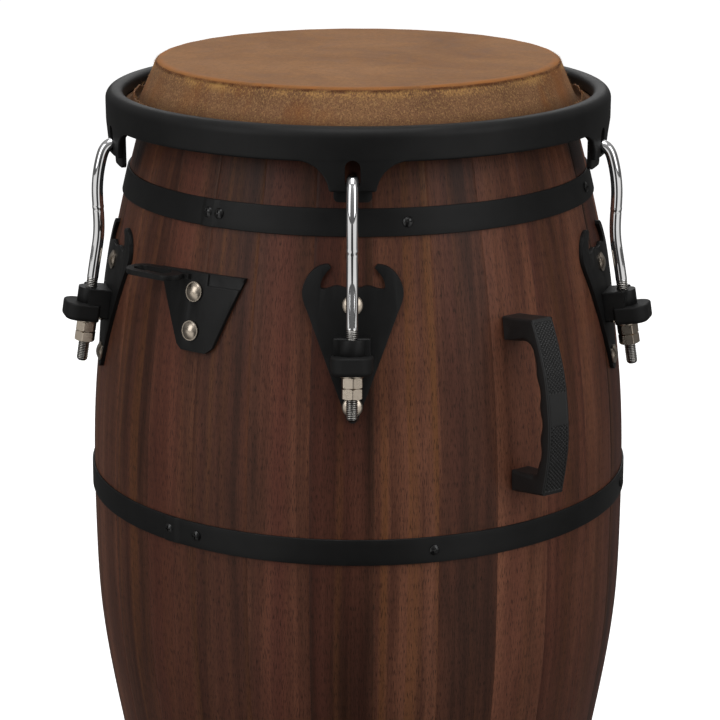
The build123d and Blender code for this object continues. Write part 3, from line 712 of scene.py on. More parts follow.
# ------------------------------------------------------------------------ foot
def build_foot():
    outer = float(shell_radius(SHELL_BASE))
    inner = outer - WALL - 0.25

    def beyond(z, gap):
        return float(shell_radius(z)) + gap

    corners = [(outer + 2.2, 0.0), (outer + 4.0, 2.2), (beyond(12.0, 4.2), 12.0),
               (beyond(19.0, 3.2), 20.5), (beyond(20.0, 0.7), 21.3),
               (beyond(21.0, 0.06), 21.0), (beyond(14.0, 0.06), 14.0),
               (outer + 0.06, 8.0), (inner, 8.0), (inner, 14.0), (inner - 2.4, 14.0),
               (inner - 3.4, 2.2), (inner - 1.6, 0.0)]
    radii = [1.6, 1.6, 1.5, 1.4, 0.3, 0.1, 0, 0.2, 0.2, 0.3, 0.8, 1.2, 1.2]
    section = round_corners(corners, radii, 4)
    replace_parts(revolve("foot_ring", section, RUBBER, 384, 50), "rubber_foot")


build_foot()

# ------------------------------------------------------------------------- rim
RIM_SEGMENTS = 480
TAB_RADIUS = 177.0      # radius at which tab widths are measured
TAB_FACE = 179.48
TAB_BACK = 174.8
TAB_TOP = 677.0         # the tabs start inside the ring
SLOT_RADIUS = 5.1
SLOT_TOP, SLOT_BOTTOM = 666.9, 658.5     # centres of the slot's round ends

# lower edge of a tab from its side to its foot: half width, z
TAB_SIDE = [(38.0, 672.4), (33.0, 670.9), (27.5, 669.0), (22.4, 665.6), (18.6, 661.0),
            (16.4, 656.2), (15.2, 651.3)]


def rim_section():
    section = [(166.7, 682.95), (166.7, 688.0)]
    section += quarter_arc((171.7, 688.0), (-5.0, 0.0), (0.0, 5.0), 8)
    section += [(171.7, 693.0), (172.6, 693.0)]
    section += quarter_arc((172.6, 686.1), (0.0, 6.9), (6.9, 0.0), 12)
    section += [(179.5, 686.0), (179.5, 681.0), (179.5, 676.0), (179.5, 672.3)]
    section += quarter_arc((177.8, 672.3), (1.7, 0.0), (0.0, -1.7), 7)
    section += [(177.8, 670.6), (173.05, 670.6), (173.05, 676.0), (173.05, 682.95)]
    return section[::-1]


def add_tabs(verts, faces):
    """a curved plate hanging from the ring at each lug"""
    side = spline_points(TAB_SIDE, 60)[::-1]
    half = np.concatenate([np.linspace(0, side[0, 0], 16)[:-1], side[:, 0]])
    across = np.concatenate([-half[::-1][:-1], half])
    bottom = np.interp(np.abs(across), side[:, 0], side[:, 1])
    count = len(across)
    top = np.full(count, TAB_TOP)
    # the face leans in slightly towards the foot of the tab
    low_face = TAB_FACE - 0.78 * np.clip((671.0 - bottom) / 19.7, 0, 1)
    for lug in LUG_AZIMUTHS:
        azimuth = lug + np.degrees(across / TAB_RADIUS)
        base = len(verts)
        for radius, z in ((TAB_FACE, top), (low_face, bottom), (TAB_BACK, bottom),
                          (TAB_BACK, top)):
            verts += list(polar(np.zeros(count) + radius, z, azimuth))
        for i in range(count - 1):
            for edge in range(4):
                this = base + edge * count + i
                other = base + (edge + 1) % 4 * count + i
                faces.append((this, this + 1, other + 1, other))
        faces.append(tuple(base + edge * count for edge in range(4)))
        faces.append(tuple(base + edge * count + count - 1 for edge in (3, 2, 1, 0)))


def slot_cutter():
    """upright round-ended bars that cut the rod hook slots"""
    outline = []
    for centre, start in ((SLOT_TOP, 0.0), (SLOT_BOTTOM, math.pi)):
        for i in range(13):
            angle = start + math.pi * i / 12
            outline.append((SLOT_RADIUS * math.cos(angle),
                            centre + SLOT_RADIUS * math.sin(angle)))
    y, z = np.array(outline).T
    count = len(outline)
    verts, faces = [], []
    for lug in LUG_AZIMUTHS:
        base = len(verts)
        for x in (160.0, 190.0):
            verts += list(local_to_world(np.full(count, x), y, z, lug))
        faces += list(grid_faces(2, count, False, True, base=base)[:, [0, 3, 2, 1]])
        faces += [tuple(base + i for i in range(count))[::-1],
                  tuple(base + count + i for i in range(count))]
    mesh = make_mesh("slots", verts, faces)
    face_outward(mesh)
    return link_object("slots", mesh)


def apply_modifiers(ob):
    depsgraph = bpy.context.evaluated_depsgraph_get()
    mesh = bpy.data.meshes.new_from_object(ob.evaluated_get(depsgraph), depsgraph=depsgraph)
    ob.modifiers.clear()
    ob.data = mesh


def build_rim():
    section = rim_section()
    verts = list(polar(*spin(section, RIM_SEGMENTS)).reshape(-1, 3))
    faces = list(grid_faces(RIM_SEGMENTS, len(section), True, True))
    add_tabs(verts, faces)
    ob = link_object("crown_rim", make_mesh("rim_raw", verts, faces))
    face_outward(ob.data)
    cutter = slot_cutter()

    # the remesh joins ring and tabs with a soft fillet, then the slots are cut
    remesh = ob.modifiers.new("rm", "REMESH")
    remesh.mode = "VOXEL"
    remesh.voxel_size = 0.62 * MM
    remesh.use_smooth_shade = True
    soften = ob.modifiers.new("sm", "SMOOTH")
    soften.iterations = 6
    soften.factor = 0.5
    apply_modifiers(ob)
    shade_smooth(ob.data)
    cut = ob.modifiers.new("cut", "BOOLEAN")
    cut.operation = "DIFFERENCE"
    cut.object = cutter
    cut.solver = "EXACT"
    apply_modifiers(ob)
    bpy.data.objects.remove(cutter)

    mesh = ob.data
    mesh.materials.clear()
    mesh.materials.append(RIM_COAT)
    shade_smooth(mesh)
    mesh.polygons.foreach_set("material_index", [0] * len(mesh.polygons))
    mesh.set_sharp_from_angle(angle=math.radians(48))
    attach(ob, "crown")
    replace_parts(ob, "rim")


build_rim()

# ------------------------------------------------------------------------ head
HEAD_SEGMENTS = 720
HOOP_CENTRE = (165.0, 677.6)
HOOP_WRAP = 4.8         # radius of the skin round the hoop

# (r, z) stations of the skin, from the surface over the edge and down the collar
HEAD_EDGE = [(138.0, 713.0), (139.6, 712.96), (141.1, 712.66), (142.3, 712.05),
             (143.3, 711.1), (144.1, 709.8), (144.9, 708.1), (145.85, 705.9)]
COLLAR = [(145.85, 705.9), (148.15, 700.3), (150.8, 694.2), (153.4, 688.6), (155.9, 684.0),
          (158.2, 680.8)]
# trimmed tail that stands up between collar and rim: (r, z, share of the ragged trim)
TAIL = [(158.9, 680.6, 0.0), (159.2, 681.8, 0.1), (159.3, 683.1, 0.4), (159.1, 684.6, 0.7),
        (158.8, 686.0, 0.9), (158.6, 687.2, 1.0), (159.6, 687.3, 1.0), (160.1, 686.1, 0.8),
        (160.7, 684.9, 0.5), (161.3, 683.9, 0.2), (162.2, 683.0, 0.0)]
# (r, z) under the surface and down the inside of the collar
HEAD_UNDERSIDE = [(0.5, 711.0), (70.0, 711.0), (137.5, 711.0), (139.6, 710.95), (140.9, 710.6),
                  (141.8, 709.9), (142.4, 709.0), (144.0, 705.2), (146.3, 699.6),
                  (149.05, 693.6), (151.9, 688.0), (154.7, 683.1), (157.7, 678.7)]
# waves round the drum: amplitude in mm, count, phase
COLLAR_WAVES = [(.22, 7, .3), (.18, 13, 1.9), (.15, 21, 4.0), (.10, 34, 2.2), (.07, 55, .9),
                (.05, 89, 3.3)]
TRIM_WAVES = [(.6, 3, .4), (.5, 8, 1.1), (.35, 17, 2.7)]


def wave_sum(waves, angle):
    return sum(size * np.sin(count * angle + phase) for size, count, phase in waves)


def roughen(radii, z, azimuth, skin_count):
    """unevenness of a hand-tucked skin; the playing surface stays flat"""
    angle = np.radians(azimuth)
    on_skin = np.arange(radii.shape[1]) < skin_count
    weight = np.clip((radii - 142.0) / 12.0, 0, 1) * on_skin[None, :]
    drop = np.clip((HEAD_TOP - z) / 12.0, 0, 1)
    radii = radii + weight * wave_sum(COLLAR_WAVES, angle) * 0.9 * drop
    near_edge = np.clip((radii - 138.0) / 6.0, 0, 1)
    z = z + near_edge * 0.16 * np.sin(31 * angle + 1.2) * (radii < 147)
    # fine lumps: noise blurred round the drum and along the section
    lumps = rng.normal(0, 1, radii.shape)
    blur = np.ones(5) / 5
    for _ in range(2):
        lumps = np.apply_along_axis(
            lambda line: np.convolve(np.concatenate([line[-2:], line, line[:2]]), blur, "valid"),
            0, lumps)
        lumps = np.apply_along_axis(
            lambda line: np.convolve(np.pad(line, 2, mode="edge"), blur, "valid"), 1, lumps)
    radii = radii + weight * lumps * 0.16
    # the tail is cut by hand: uneven height and lean
    ragged = rng.normal(0, 1, HEAD_SEGMENTS)
    ragged = np.convolve(np.concatenate([ragged[-3:], ragged, ragged[:3]]),
                         np.ones(4) / 4, "same")[3:-3]
    trim = np.clip(1.5 * ragged + 1.0 * wave_sum(TRIM_WAVES, angle[:, 0]), -3.2, 1.6)
    lift = np.zeros(radii.shape[1])
    lift[skin_count:skin_count + len(TAIL)] = [share for _, _, share in TAIL]
    z = z + trim[:, None] * lift[None, :]
    radii = radii + (rng.normal(0, 0.16, (HEAD_SEGMENTS, 1)) - 0.1) * lift[None, :]
    return radii, z


def build_head():
    """returns the (r, z) stations of the skin's outer face"""
    skin = [(r, HEAD_TOP) for r in np.linspace(0.5, 138.0, 68)]
    skin += [tuple(p) for p in spline_points(HEAD_EDGE, 26)[1:]]
    skin += [tuple(p) for p in spline_points(COLLAR, 30)[1:]]
    outer = skin + [(r, z) for r, z, _ in TAIL]
    for i in range(19):
        angle = math.radians(108.0 - i * 253.0 / 18)
        outer.append((HOOP_CENTRE[0] + HOOP_WRAP * math.cos(angle),
                      HOOP_CENTRE[1] + HOOP_WRAP * math.sin(angle)))
    count, under_count = len(outer), len(HEAD_UNDERSIDE)

    radii, z, azimuth = spin(outer, HEAD_SEGMENTS)
    radii, z = roughen(radii, z, azimuth, len(skin))
    verts = list(polar(radii, z, azimuth).reshape(-1, 3))
    faces = list(grid_faces(HEAD_SEGMENTS, count, True, False, flip=True))
    under = len(verts)
    verts += list(polar(*spin(HEAD_UNDERSIDE, HEAD_SEGMENTS)).reshape(-1, 3))
    faces += list(grid_faces(HEAD_SEGMENTS, under_count, True, False, base=under))
    top_centre = len(verts)
    under_centre = top_centre + 1
    verts += [(0, 0, 0.713), (0, 0, 0.711)]
    for i in range(HEAD_SEGMENTS):
        j = (i + 1) % HEAD_SEGMENTS
        under_i, under_j = under + i * under_count, under + j * under_count
        faces.append((top_centre, i * count, j * count))
        faces.append((under_centre, under_j, under_i))
        # join the end of the wrap to the inside of the collar
        faces.append((under_i + under_count - 1, under_j + under_count - 1,
                      j * count + count - 1, i * count + count - 1))
    ob = new_object("rawhide_head", verts, faces, "crown", HIDE)
    face_outward(ob.data)
    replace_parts(ob, "drum_head")
    return skin


def add_fibre(verts, faces, root, direction, length, width):
    """a flat, bent, pointed hair; all in metres"""
    side = np.cross(direction, rng.normal(0, 1, 3))
    side /= np.linalg.norm(side) + 1e-9
    bend = rng.normal(0, 0.35, 3)
    middle = root + (direction + bend * 0.3) * length * 0.55
    tip = root + (direction + bend) * length
    i = len(verts)
    verts.extend([root - side * width, root + side * width,
                  middle + side * width * .7, middle - side * width * .7, tip])
    faces.append((i, i + 1, i + 2, i + 3))
    faces.append((i + 3, i + 2, i + 4))


def build_fibres(skin):
    """short fibres along the crease, on the collar and on the trimmed tail"""
    line_r, line_z = np.array([p for p in skin if p[1] < 712.9])[::-1].T
    verts, faces = [], []
    for _ in range(9000):
        azimuth = rng.uniform(0, 360)
        kind = rng.uniform()
        if kind < 0.42:          # crease
            z = rng.uniform(709.6, 712.2)
            radius = float(np.interp(z, line_z, line_r))
            up, outward, length = 0.35, 0.9, rng.uniform(0.5, 1.5)
        elif kind < 0.78:        # collar
            z = rng.uniform(685.0, 709.6)
            radius = float(np.interp(z, line_z, line_r))
            up, outward, length = rng.uniform(-0.2, 0.8), 0.6, rng.uniform(0.5, 1.6)
        else:                    # trimmed tail
            radius = 159.1 + rng.normal(0, 0.5)
            z = 686.4 + rng.normal(0, 1.0)
            up, outward, length = 1.0, rng.normal(0, 0.6), rng.uniform(1.0, 4.2)
        root = polar(np.array([radius]), np.array([z]), np.array([azimuth]))[0]
        radial, tangent = compass(azimuth)
        direction = (radial * outward + np.array([0, 0, 1.0]) * up
                     + tangent * rng.normal(0, 0.8))
        direction /= np.linalg.norm(direction)
        add_fibre(verts, faces, root, direction, length * MM, 0.045 * MM)
    new_object("hide_fibres", verts, faces, "crown", FIBRE, smooth=False)


build_fibres(build_head())

# ---------------------------------------------------------------- tension rods
# each rod lies in a radial plane: x outward, y across, z up
ROD_RADIUS = 4.0
ROD_SEGMENTS = 32
LEAN = math.radians(9.3)                        # the straight leg leans in at the top
SEAT = np.array([200.4, 0.0, 534.2])            # on the rod axis, at the nuts
ROD_UP = np.array([-math.sin(LEAN), 0.0, math.cos(LEAN)])
ROD_OUT = np.array([math.cos(LEAN), 0.0, math.sin(LEAN)])
LEG_TOP_Z = 568.0
TIP_Z = 505.2
THREAD_PITCH = 1.25
THREAD_DEPTH = 0.70
TIP_LENGTH = 2.6                                # rounded end of the thread
HOOK_Z = 659.5

# centre line of the hook, from inside the rim down to the leg: (x, z)
ROD_BEND = [(172.0, HOOK_Z), (174.5, HOOK_Z), (176.6, HOOK_Z), (180.6, 658.9),
            (184.0, 655.9), (186.3, 650.6), (188.0, 644.0), (189.4, 636.0), (190.1, 628.0),
            (190.1, 619.0), (189.8, 610.0), (189.8, 601.0), (190.4, 593.5), (191.6, 586.0),
            (193.1, 578.0)]
# x of the first rings of the domed hook end, and how far each is drawn in
HOOK_END = [(169.42, 1.0), (169.55, 0.55), (169.8, 0.22), (170.2, 0.05)]


def sweep(path, radius_at):
    """tube round a path in the radial plane; radius_at takes the ring and its angles"""
    tangent = np.gradient(path, axis=0)
    tangent /= np.linalg.norm(tangent, axis=1)[:, None]
    across = np.array([0.0, 1.0, 0.0])
    angle = np.arange(ROD_SEGMENTS) * 2 * math.pi / ROD_SEGMENTS
    rings = np.zeros((len(path), ROD_SEGMENTS, 3))
    for i, point in enumerate(path):
        normal = np.cross(across, tangent[i])
        normal /= np.linalg.norm(normal)
        spokes = np.cos(angle)[:, None] * normal + np.sin(angle)[:, None] * across
        rings[i] = point + spokes * radius_at(i, angle)[..., None]
    return rings


def rod_bar_path():
    leg_top = SEAT + ROD_UP * ((LEG_TOP_Z - SEAT[2]) / math.cos(LEAN))
    points = [(x, 0, z) for x, z in ROD_BEND]
    points += [tuple(leg_top), tuple(leg_top - ROD_UP * 1.2), tuple(leg_top - ROD_UP * 2.6)]
    curve = spline_points(points, 210)
    for _ in range(4):
        curve[1:-1] = 0.25 * curve[:-2] + 0.5 * curve[1:-1] + 0.25 * curve[2:]
    end = np.stack([np.linspace(169.4, 171.8, 8), np.zeros(8), np.full(8, HOOK_Z)], -1)
    end[:len(HOOK_END), 0] = [x for x, _ in HOOK_END]
    return np.concatenate([end, curve])


def build_rod(number, lug):
    bar = rod_bar_path()
    bar_rings = len(bar)
    start = bar[-1]
    tip = SEAT - ROD_UP * ((SEAT[2] - TIP_Z) / math.cos(LEAN))
    length = np.linalg.norm(tip - start)
    down = np.linspace(0, length, int(length / THREAD_PITCH * 8))
    screw = start[None, :] + (tip - start)[None, :] / length * down[:, None]

    def bar_radius(i, angle):
        if i < len(HOOK_END):
            return np.full(len(angle), ROD_RADIUS - HOOK_END[i][1])
        # faint bending mark where the bar kinks
        mark = 0.0
        if bar[i, 0] > 185:
            height = bar[i, 2] - 615.4
            mark = (0.16 * math.exp(-(height / 1.0) ** 2)
                    - 0.14 * math.exp(-((height + 2.1) / 0.8) ** 2))
            mark = mark * (1.0 + 0.55 * np.sin(7 * angle + 0.8 * height)
                           + 0.35 * np.sin(12 * angle + 2.0))
        return ROD_RADIUS + mark + np.zeros(len(angle))

    def thread_radius(i, angle):
        phase = (down[i] / THREAD_PITCH + angle / (2 * math.pi)) % 1.0
        crest = np.clip((1.0 - np.abs(2 * phase - 1.0)) * 1.25, 0, 1)
        depth = THREAD_DEPTH * min(1.0, down[i] / 4.0)
        radius = ROD_RADIUS - depth * (1.0 - crest)
        left = length - down[i]
        if left < TIP_LENGTH:
            inward = (TIP_LENGTH - left) / TIP_LENGTH
            radius = np.minimum(radius, ROD_RADIUS * math.sqrt(max(0.0, 1 - inward ** 2 * 0.62)))
        return radius

    rings = np.concatenate([sweep(bar, bar_radius), sweep(screw, thread_radius)])
    count = len(rings)
    verts = local_to_world(rings[..., 0], rings[..., 1], rings[..., 2], lug).reshape(-1, 3)
    faces = list(grid_faces(count, ROD_SEGMENTS, False, True, flip=True))
    faces.append(tuple(range(ROD_SEGMENTS))[::-1])
    faces.append(tuple((count - 1) * ROD_SEGMENTS + i for i in range(ROD_SEGMENTS)))
    ob = new_object("rod_visual_%d" % number, verts, faces, "rod_%d" % number,
                    CHROME, 60)
    mesh = ob.data
    mesh.materials.append(THREAD)
    threaded = [int(row >= bar_rings + 6) for row in range(count - 1)
                for _ in range(ROD_SEGMENTS)]
    mesh.polygons.foreach_set("material_index", threaded + [0, 1])
    angle = np.arange(ROD_SEGMENTS) * 2 * math.pi / ROD_SEGMENTS
    # depth of the thread groove, read by the thread material to paint shade into the roots
    groove = np.zeros((count, ROD_SEGMENTS), np.float32)
    for i in range(len(screw)):
        groove[bar_rings + i] = np.clip((ROD_RADIUS - thread_radius(i, angle)) / THREAD_DEPTH,
                                        0, 1)
    add_attribute(mesh, "groove", groove)
    face_outward(mesh)
    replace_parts(ob, "tension_rod_%d" % number)


for number, lug in enumerate(LUG_AZIMUTHS, 1):
    build_rod(number, lug)

# ------------------------------------------------------------------------ nuts
# z in this section runs up the rod from its seat
NUT_FLATS = 13.0
NUT_BORE = 4.02
NUT_SEGMENTS = 144
WASHER_SEGMENTS = 96
CHAMFER_STEPS = [0.10, 0.2, 0.32, 0.45, 0.6, 0.85]
# name, lower end, height, turn in degrees
NUTS = [("tuning_nut", -7.55, 7.05, 38.0), ("lock_nut", -14.75, 7.1, 36.0)]


def ring_angles(segments):
    return np.arange(segments) * 2 * math.pi / segments


def lean_to_world(x, y, z, azimuth):
    """x outward, y across, z up the rod (mm) -> metres"""
    points = (SEAT + x[..., None] * ROD_OUT + y[..., None] * np.array([0, 1.0, 0])
              + z[..., None] * ROD_UP)
    return local_to_world(points[..., 0], points[..., 1], points[..., 2], azimuth)


def add_turned(verts, faces, rows, segments, azimuth):
    """closed loop of (radius, z) rows round the rod; a radius may vary with the angle"""
    angle = ring_angles(segments)
    base = len(verts)
    for radius, z in rows:
        verts.extend(lean_to_world(radius * np.cos(angle), radius * np.sin(angle),
                                   z + 0 * angle, azimuth))
    quads = grid_faces(len(rows), segments, True, True, base=base)
    faces.extend(quads[:, [0, 3, 2, 1]])


def hex_rows(low, height, turn):
    """chamfered hexagon outside, countersunk bore inside"""
    high = low + height
    sixth = math.pi / 3
    within = (ring_angles(NUT_SEGMENTS) - math.radians(turn) + math.pi / 6) % sixth - math.pi / 6
    flats = np.minimum(NUT_FLATS / 2 / np.cos(within),
                       NUT_FLATS / 2 / math.cos(math.pi / 6) - 0.12)

    def ring(z, soft=0.0):
        cone = NUT_FLATS / 2 - 0.15 + min(z - low, high - z) * 1.9
        return np.minimum(flats, cone) - soft, z

    rows = [ring(low, 0.1)] + [ring(low + step) for step in CHAMFER_STEPS]
    rows += [ring(low + height / 2)]
    rows += [ring(high - step) for step in CHAMFER_STEPS[::-1]] + [ring(high, 0.1)]
    rows += [(NUT_BORE + 0.7, high), (NUT_BORE + 0.05, high - 0.65)]
    rows += [(NUT_BORE + 0.05, low + 0.65), (NUT_BORE + 0.7, low)]
    return rows


def washer_rows(low, height, outer, inner):
    high = low + height
    return round_corners([(outer, low), (outer, high), (inner, high), (inner, low)],
                         [0.45, 0.35, 0.1, 0.1], 4)


def build_nut(name, low, height, turn, number, lug):
    verts, faces = [], []
    add_turned(verts, faces, hex_rows(low, height, turn), NUT_SEGMENTS, lug)
    if name == "tuning_nut":
        washer = washer_rows(low=-0.45, height=1.6, outer=8.2, inner=4.1)
        add_turned(verts, faces, washer, WASHER_SEGMENTS, lug)
    ob = new_object("%s_hex_%d" % (name, number), verts, faces, "nuts_%d" % number,
                    NICKEL, 24)
    face_outward(ob.data)
    ob.data.set_sharp_from_angle(angle=math.radians(24))
    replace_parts(ob, "%s_%d" % (name, number))


for number, lug in enumerate(LUG_AZIMUTHS, 1):
    for nut in NUTS:
        build_nut(*nut, number, lug)

# ---------------------------------------------------------------------- handle
HALF_WIDTH = 8.6
EDGE_RADIUS = 1.3
INNER_RADIUS = 6.2      # fuller rounding on the finger side
PLAIN, INNER, GRIP = 0, 1, 2
KNURL_PITCH = 2.75

# (x outward, z) down the outer face of the grip
GRIP_LINE = [(212.7, 566.6), (218.0, 556.2), (223.5, 543.2), (228.0, 530.6), (231.3, 515.5),
             (233.1, 502.5), (233.8, 489.5), (233.0, 474.5), (230.9, 462.0), (228.3, 449.5)]


def handle_outline():
    """side view as a closed loop of (x, z) points, and the kind of face at each"""
    grip_x = natural_cubic([-z for _, z in GRIP_LINE], [x for x, _ in GRIP_LINE])
    inner_z = np.linspace(541.0, 466.0, 60)
    # the thickness waves to form finger rests
    thickness = 12.0 + 0.9 * np.cos(2 * math.pi * (inner_z - 529.0) / 20.7)
    inner = np.stack([grip_x(-inner_z) - thickness, inner_z], -1)
    top_x, low_x = inner[0][0], inner[-1][0]

    def at_shell(z):
        return (float(shell_radius(z)) + 0.12, z)

    low_corner = spline_points([(low_x - 6.0, 460.5), (low_x - 2.2, 461.6),
                                (low_x - 0.4, 463.6), tuple(inner[-1])], 8)[1:-1]
    top_corner = spline_points([tuple(inner[0]), (top_x - 1.6, 545.6), (top_x - 4.8, 548.6),
                                (top_x - 9.0, 549.8)], 8)[1:]
    runs = [
        (PLAIN, [at_shell(562.2), (190.0, 563.3), (200.0, 564.8), (208.0, 565.9)]),
        (GRIP, spline_points(GRIP_LINE, 430)),
        (PLAIN, [(220.0, 448.0), (210.0, 446.3), (202.0, 444.9), at_shell(443.9),
                 at_shell(458.2), (202.0, 459.0), (208.0, 459.7), (low_x - 6.0, 460.5)]),
        (INNER, low_corner), (INNER, inner[::-1]), (INNER, top_corner),
        (PLAIN, [(196.0, 548.4), (190.0, 547.3), at_shell(546.4)])]
    points = np.concatenate([np.array(run, float) for _, run in runs])
    return points, np.repeat([kind for kind, _ in runs], [len(run) for _, run in runs])


def build_handle():
    outline, kind = handle_outline()
    count = len(outline)
    tangent = np.roll(outline, -1, 0) - np.roll(outline, 1, 0)
    tangent /= np.linalg.norm(tangent, axis=1)[:, None]
    outward = np.stack([-tangent[:, 1], tangent[:, 0]], -1)
    radius = np.where(kind == INNER, INNER_RADIUS, EDGE_RADIUS)
    for _ in range(30):
        radius = 0.25 * np.roll(radius, 1) + 0.5 * radius + 0.25 * np.roll(radius, -1)
    radius = np.where(kind == GRIP, EDGE_RADIUS, radius)
    at_wall = (outline[:, 0] < 196.5) & (kind == PLAIN)

    edge = EDGE_RADIUS * (1 - np.cos(np.linspace(0.25, 1.4, 4)))
    flat = HALF_WIDTH - 1.35
    across = np.concatenate([[-HALF_WIDTH], -HALF_WIDTH + edge, np.linspace(-flat, flat, 60),
                             HALF_WIDTH - edge[::-1], [HALF_WIDTH]])
    across = np.unique(np.round(across, 4))
    chords = np.linalg.norm(np.diff(outline, axis=0), axis=1)
    along = np.concatenate([[0], np.cumsum(chords)])
    z = outline[:, 1]

    def groove(place):
        return 1 - np.abs((place / KNURL_PITCH % 1.0) - 0.5) / 0.34

    verts = []
    for y in across:
        into = np.clip((np.abs(y) - (HALF_WIDTH - radius)) / radius, 0, 1)
        inset = radius * (1 - np.sqrt(np.maximum(0, 1 - into * into)))
        inset = np.where(at_wall, np.minimum(inset, EDGE_RADIUS), inset)
        points = outline - outward * inset[:, None]
        # diamond knurl on the outer face, with a plain sunk panel in the middle
        knurl = np.clip(np.maximum(groove(along + y), groove(along - y)), 0, 1)
        mask = (kind == GRIP) * np.clip((HALF_WIDTH - 1.5 - abs(y)) / 0.5, 0, 1)
        mask = mask * np.clip((565.0 - z) / 1.0, 0, 1) * np.clip((z - 451.5) / 1.0, 0, 1)
        off_panel = np.clip((np.abs(z - 509.0) - 10.5) / 0.6, 0, 1)
        points = points - outward * (0.62 * knurl * mask * off_panel)[:, None]
        points = points - outward * (0.18 * mask * (1 - off_panel))[:, None]
        verts += list(local_to_world(points[:, 0], np.full(count, y), points[:, 1],
                                     HANDLE_AZIMUTH))
    rows = len(across)
    faces = list(grid_faces(rows, count, False, True))
    faces.append(tuple(range(count)))
    faces.append(tuple((rows - 1) * count + i for i in range(count))[::-1])
    ob = new_object("carry_handle", verts, faces, "drum_shell", PLASTIC, 40)
    face_outward(ob.data, split_ngons=True)
    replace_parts(ob, "handle")


build_handle()


# ------------------------------------------------------- carried-over CAD nodes
def dress(node, material, bevel=None, segments=2, angle=40):
    """material and, with a bevel width in mm, softened edges on a CAD node"""
    ob = nodes[node]
    materials = ob.data.materials
    if not materials:
        materials.append(material)
    for i in range(len(materials)):
        materials[i] = material
    for slot in ob.material_slots:
        slot.material = material
    if bevel:
        weld = ob.modifiers.new("weld", "WELD")
        weld.merge_threshold = 0.000004
        planar = ob.modifiers.new("planar", "DECIMATE")
        planar.decimate_type = "DISSOLVE"
        planar.angle_limit = math.radians(1.0)
        edge = ob.modifiers.new("edge", "BEVEL")
        edge.width = bevel * MM
        edge.segments = segments
        edge.limit_method = "ANGLE"
        edge.angle_limit = math.radians(angle)
        edge.use_clamp_overlap = True
        edge.harden_normals = True


for number in range(1, LUGS + 1):
    dress("side_plate_%d" % number, COAT, bevel=0.55, segments=3)
    dress("lug_boss_%d" % number, COAT, bevel=0.5)
    dress("lug_cap_%d" % number, RUBBER)
    dress("tuning_nut_%d" % number, NICKEL)
    dress("lock_nut_%d" % number, NICKEL)
dress("hook_seat_plates", COAT, bevel=0.5)
dress("accessory_bracket", COAT, bevel=0.5)
dress("lug_boss_screws", NICKEL, bevel=0.25, angle=30)
for node in ("side_plate_bolts", "bracket_bolts"):
    dress(node, NICKEL)
for node in ("upper_band_screws", "belly_band_screws", "lower_band_screws"):
    dress(node, BLACK_ZINC)
for node in ("side_plate_washers", "side_plate_bolt_nuts", "bracket_washers",
             "bracket_bolt_nuts", "handle_bolts", "handle_washers", "flesh_hoop"):
    dress(node, ZINC)


# ------------------------------------------------------------- stage and light
# lengths from here on are in metres
def make_floor_material():
    """pale floor: reads white to the camera, bounces only a little light"""
    material = bpy.data.materials.new("floor_pale")
    net = NodeNet(material)
    mottle = net.noise(net.coords(), scale=3.0, detail=3.0, rough=0.5)
    pale = net.mix(mottle, (0.74, 0.74, 0.74), (0.78, 0.78, 0.78))
    seen = net.node("AddShader", {0: net.node("BsdfDiffuse", {0: pale}).outputs[0],
                                  1: net.emission((1, 1, 1, 1), strength=0.80)}).outputs[0]
    bounce = net.node("BsdfDiffuse", {0: (0.24, 0.24, 0.24, 1)}).outputs[0]
    # mirrors see a lit sweep, dark along a strip at x = 0 that widens with |y|, and
    # dark from the drum backwards
    x, y, _ = net.split(net.node("NewGeometry").outputs["Position"])
    half_width = net.add(0.12, net.mul(net.math("ABSOLUTE", y), 0.30))
    dark = net.remap(net.math("DIVIDE", net.math("ABSOLUTE", x), half_width),
                     span=(0.85, 1.1), to=(1.0, 0.0))
    dark = net.math("MAXIMUM", dark, net.remap(y, span=(-0.9, -0.2), to=(0.0, 0.9)))
    mirrored = net.emission((1, 0.99, 0.97, 1), strength=net.sub(0.80, net.mul(dark, 0.76)))
    unseen = net.ray_switch("Is Glossy Ray", bounce, mirrored)
    net.node("OutputMaterial", {0: net.ray_switch("Is Camera Ray", unseen, seen)})
    return material


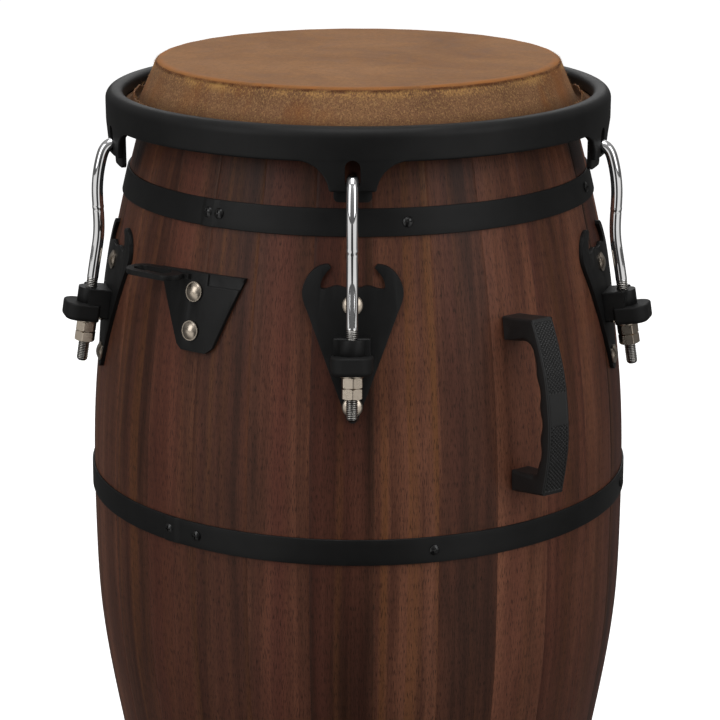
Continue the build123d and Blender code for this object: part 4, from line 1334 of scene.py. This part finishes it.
def build_floor():
    bpy.ops.mesh.primitive_plane_add(size=60, location=(0, 0, -0.0005))
    floor = bpy.context.object
    floor.name = "floor"
    floor.data.materials.append(make_floor_material())
    floor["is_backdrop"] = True


def build_world():
    """white to the camera, a dim dome brighter overhead for everything else"""
    world = bpy.data.worlds.new("studio")
    bpy.context.scene.world = world
    net = NodeNet(world)
    _, _, height = net.split(net.node("TexCoord").outputs["Generated"])
    strength = net.remap(height, span=(-0.2, 0.9), to=(0.04, 0.40))
    white = net.node("Background", {0: (1, 1, 1, 1), 1: 1.0}).outputs[0]
    dome = net.node("Background", {0: (1, 0.99, 0.98, 1), 1: strength}).outputs[0]
    net.node("OutputWorld", {0: net.ray_switch("Is Camera Ray", dome, white)})


def add_softbox(name, place, aim, size, power):
    light = bpy.data.lights.new(name, "AREA")
    light.energy = power
    light.shape = "RECTANGLE"
    light.size, light.size_y = size
    ob = link_object(name, light)
    ob.location = place
    ob.rotation_euler = (Vector(aim) - Vector(place)).to_track_quat("-Z", "Y").to_euler()
    ob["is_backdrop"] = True


def build_camera():
    distance = 1.630
    azimuth = math.radians(1.6)
    camera = bpy.data.cameras.new("cam")
    camera.lens = 115.0
    camera.sensor_width = 36.0
    camera.shift_x = 0.0025
    camera.clip_end = 60
    ob = link_object("cam", camera)
    ob.location = (distance * math.sin(azimuth), -distance * math.cos(azimuth),
                   CROWN * MM + 0.2443)
    ob.rotation_euler = (math.radians(90.0 - 16.0), 0.0, azimuth)    # looks down 16 degrees
    bpy.context.scene.camera = ob


build_floor()
build_world()
for name, x in (("softbox_left", -1.75), ("softbox_right", 1.75)):
    add_softbox(name, place=(x, -1.45, 1.60), aim=(0, 0, 0.58), size=(1.3, 1.9), power=14.5)
add_softbox("softbox_top", place=(0.0, -0.35, 2.5), aim=(0, 0, 0.6), size=(1.5, 1.5), power=17.0)
add_softbox("softbox_back", place=(0.0, 2.1, 1.7), aim=(0, 0, 0.6), size=(1.8, 1.2), power=8.0)
build_camera()
bpy.context.scene.view_settings.view_transform = "Standard"

({"cad": [list(v) if hasattr(v, "__len__") else v for v in cad_bounds],
           "visual": [list(v) if hasattr(v, "__len__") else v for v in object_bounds()]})
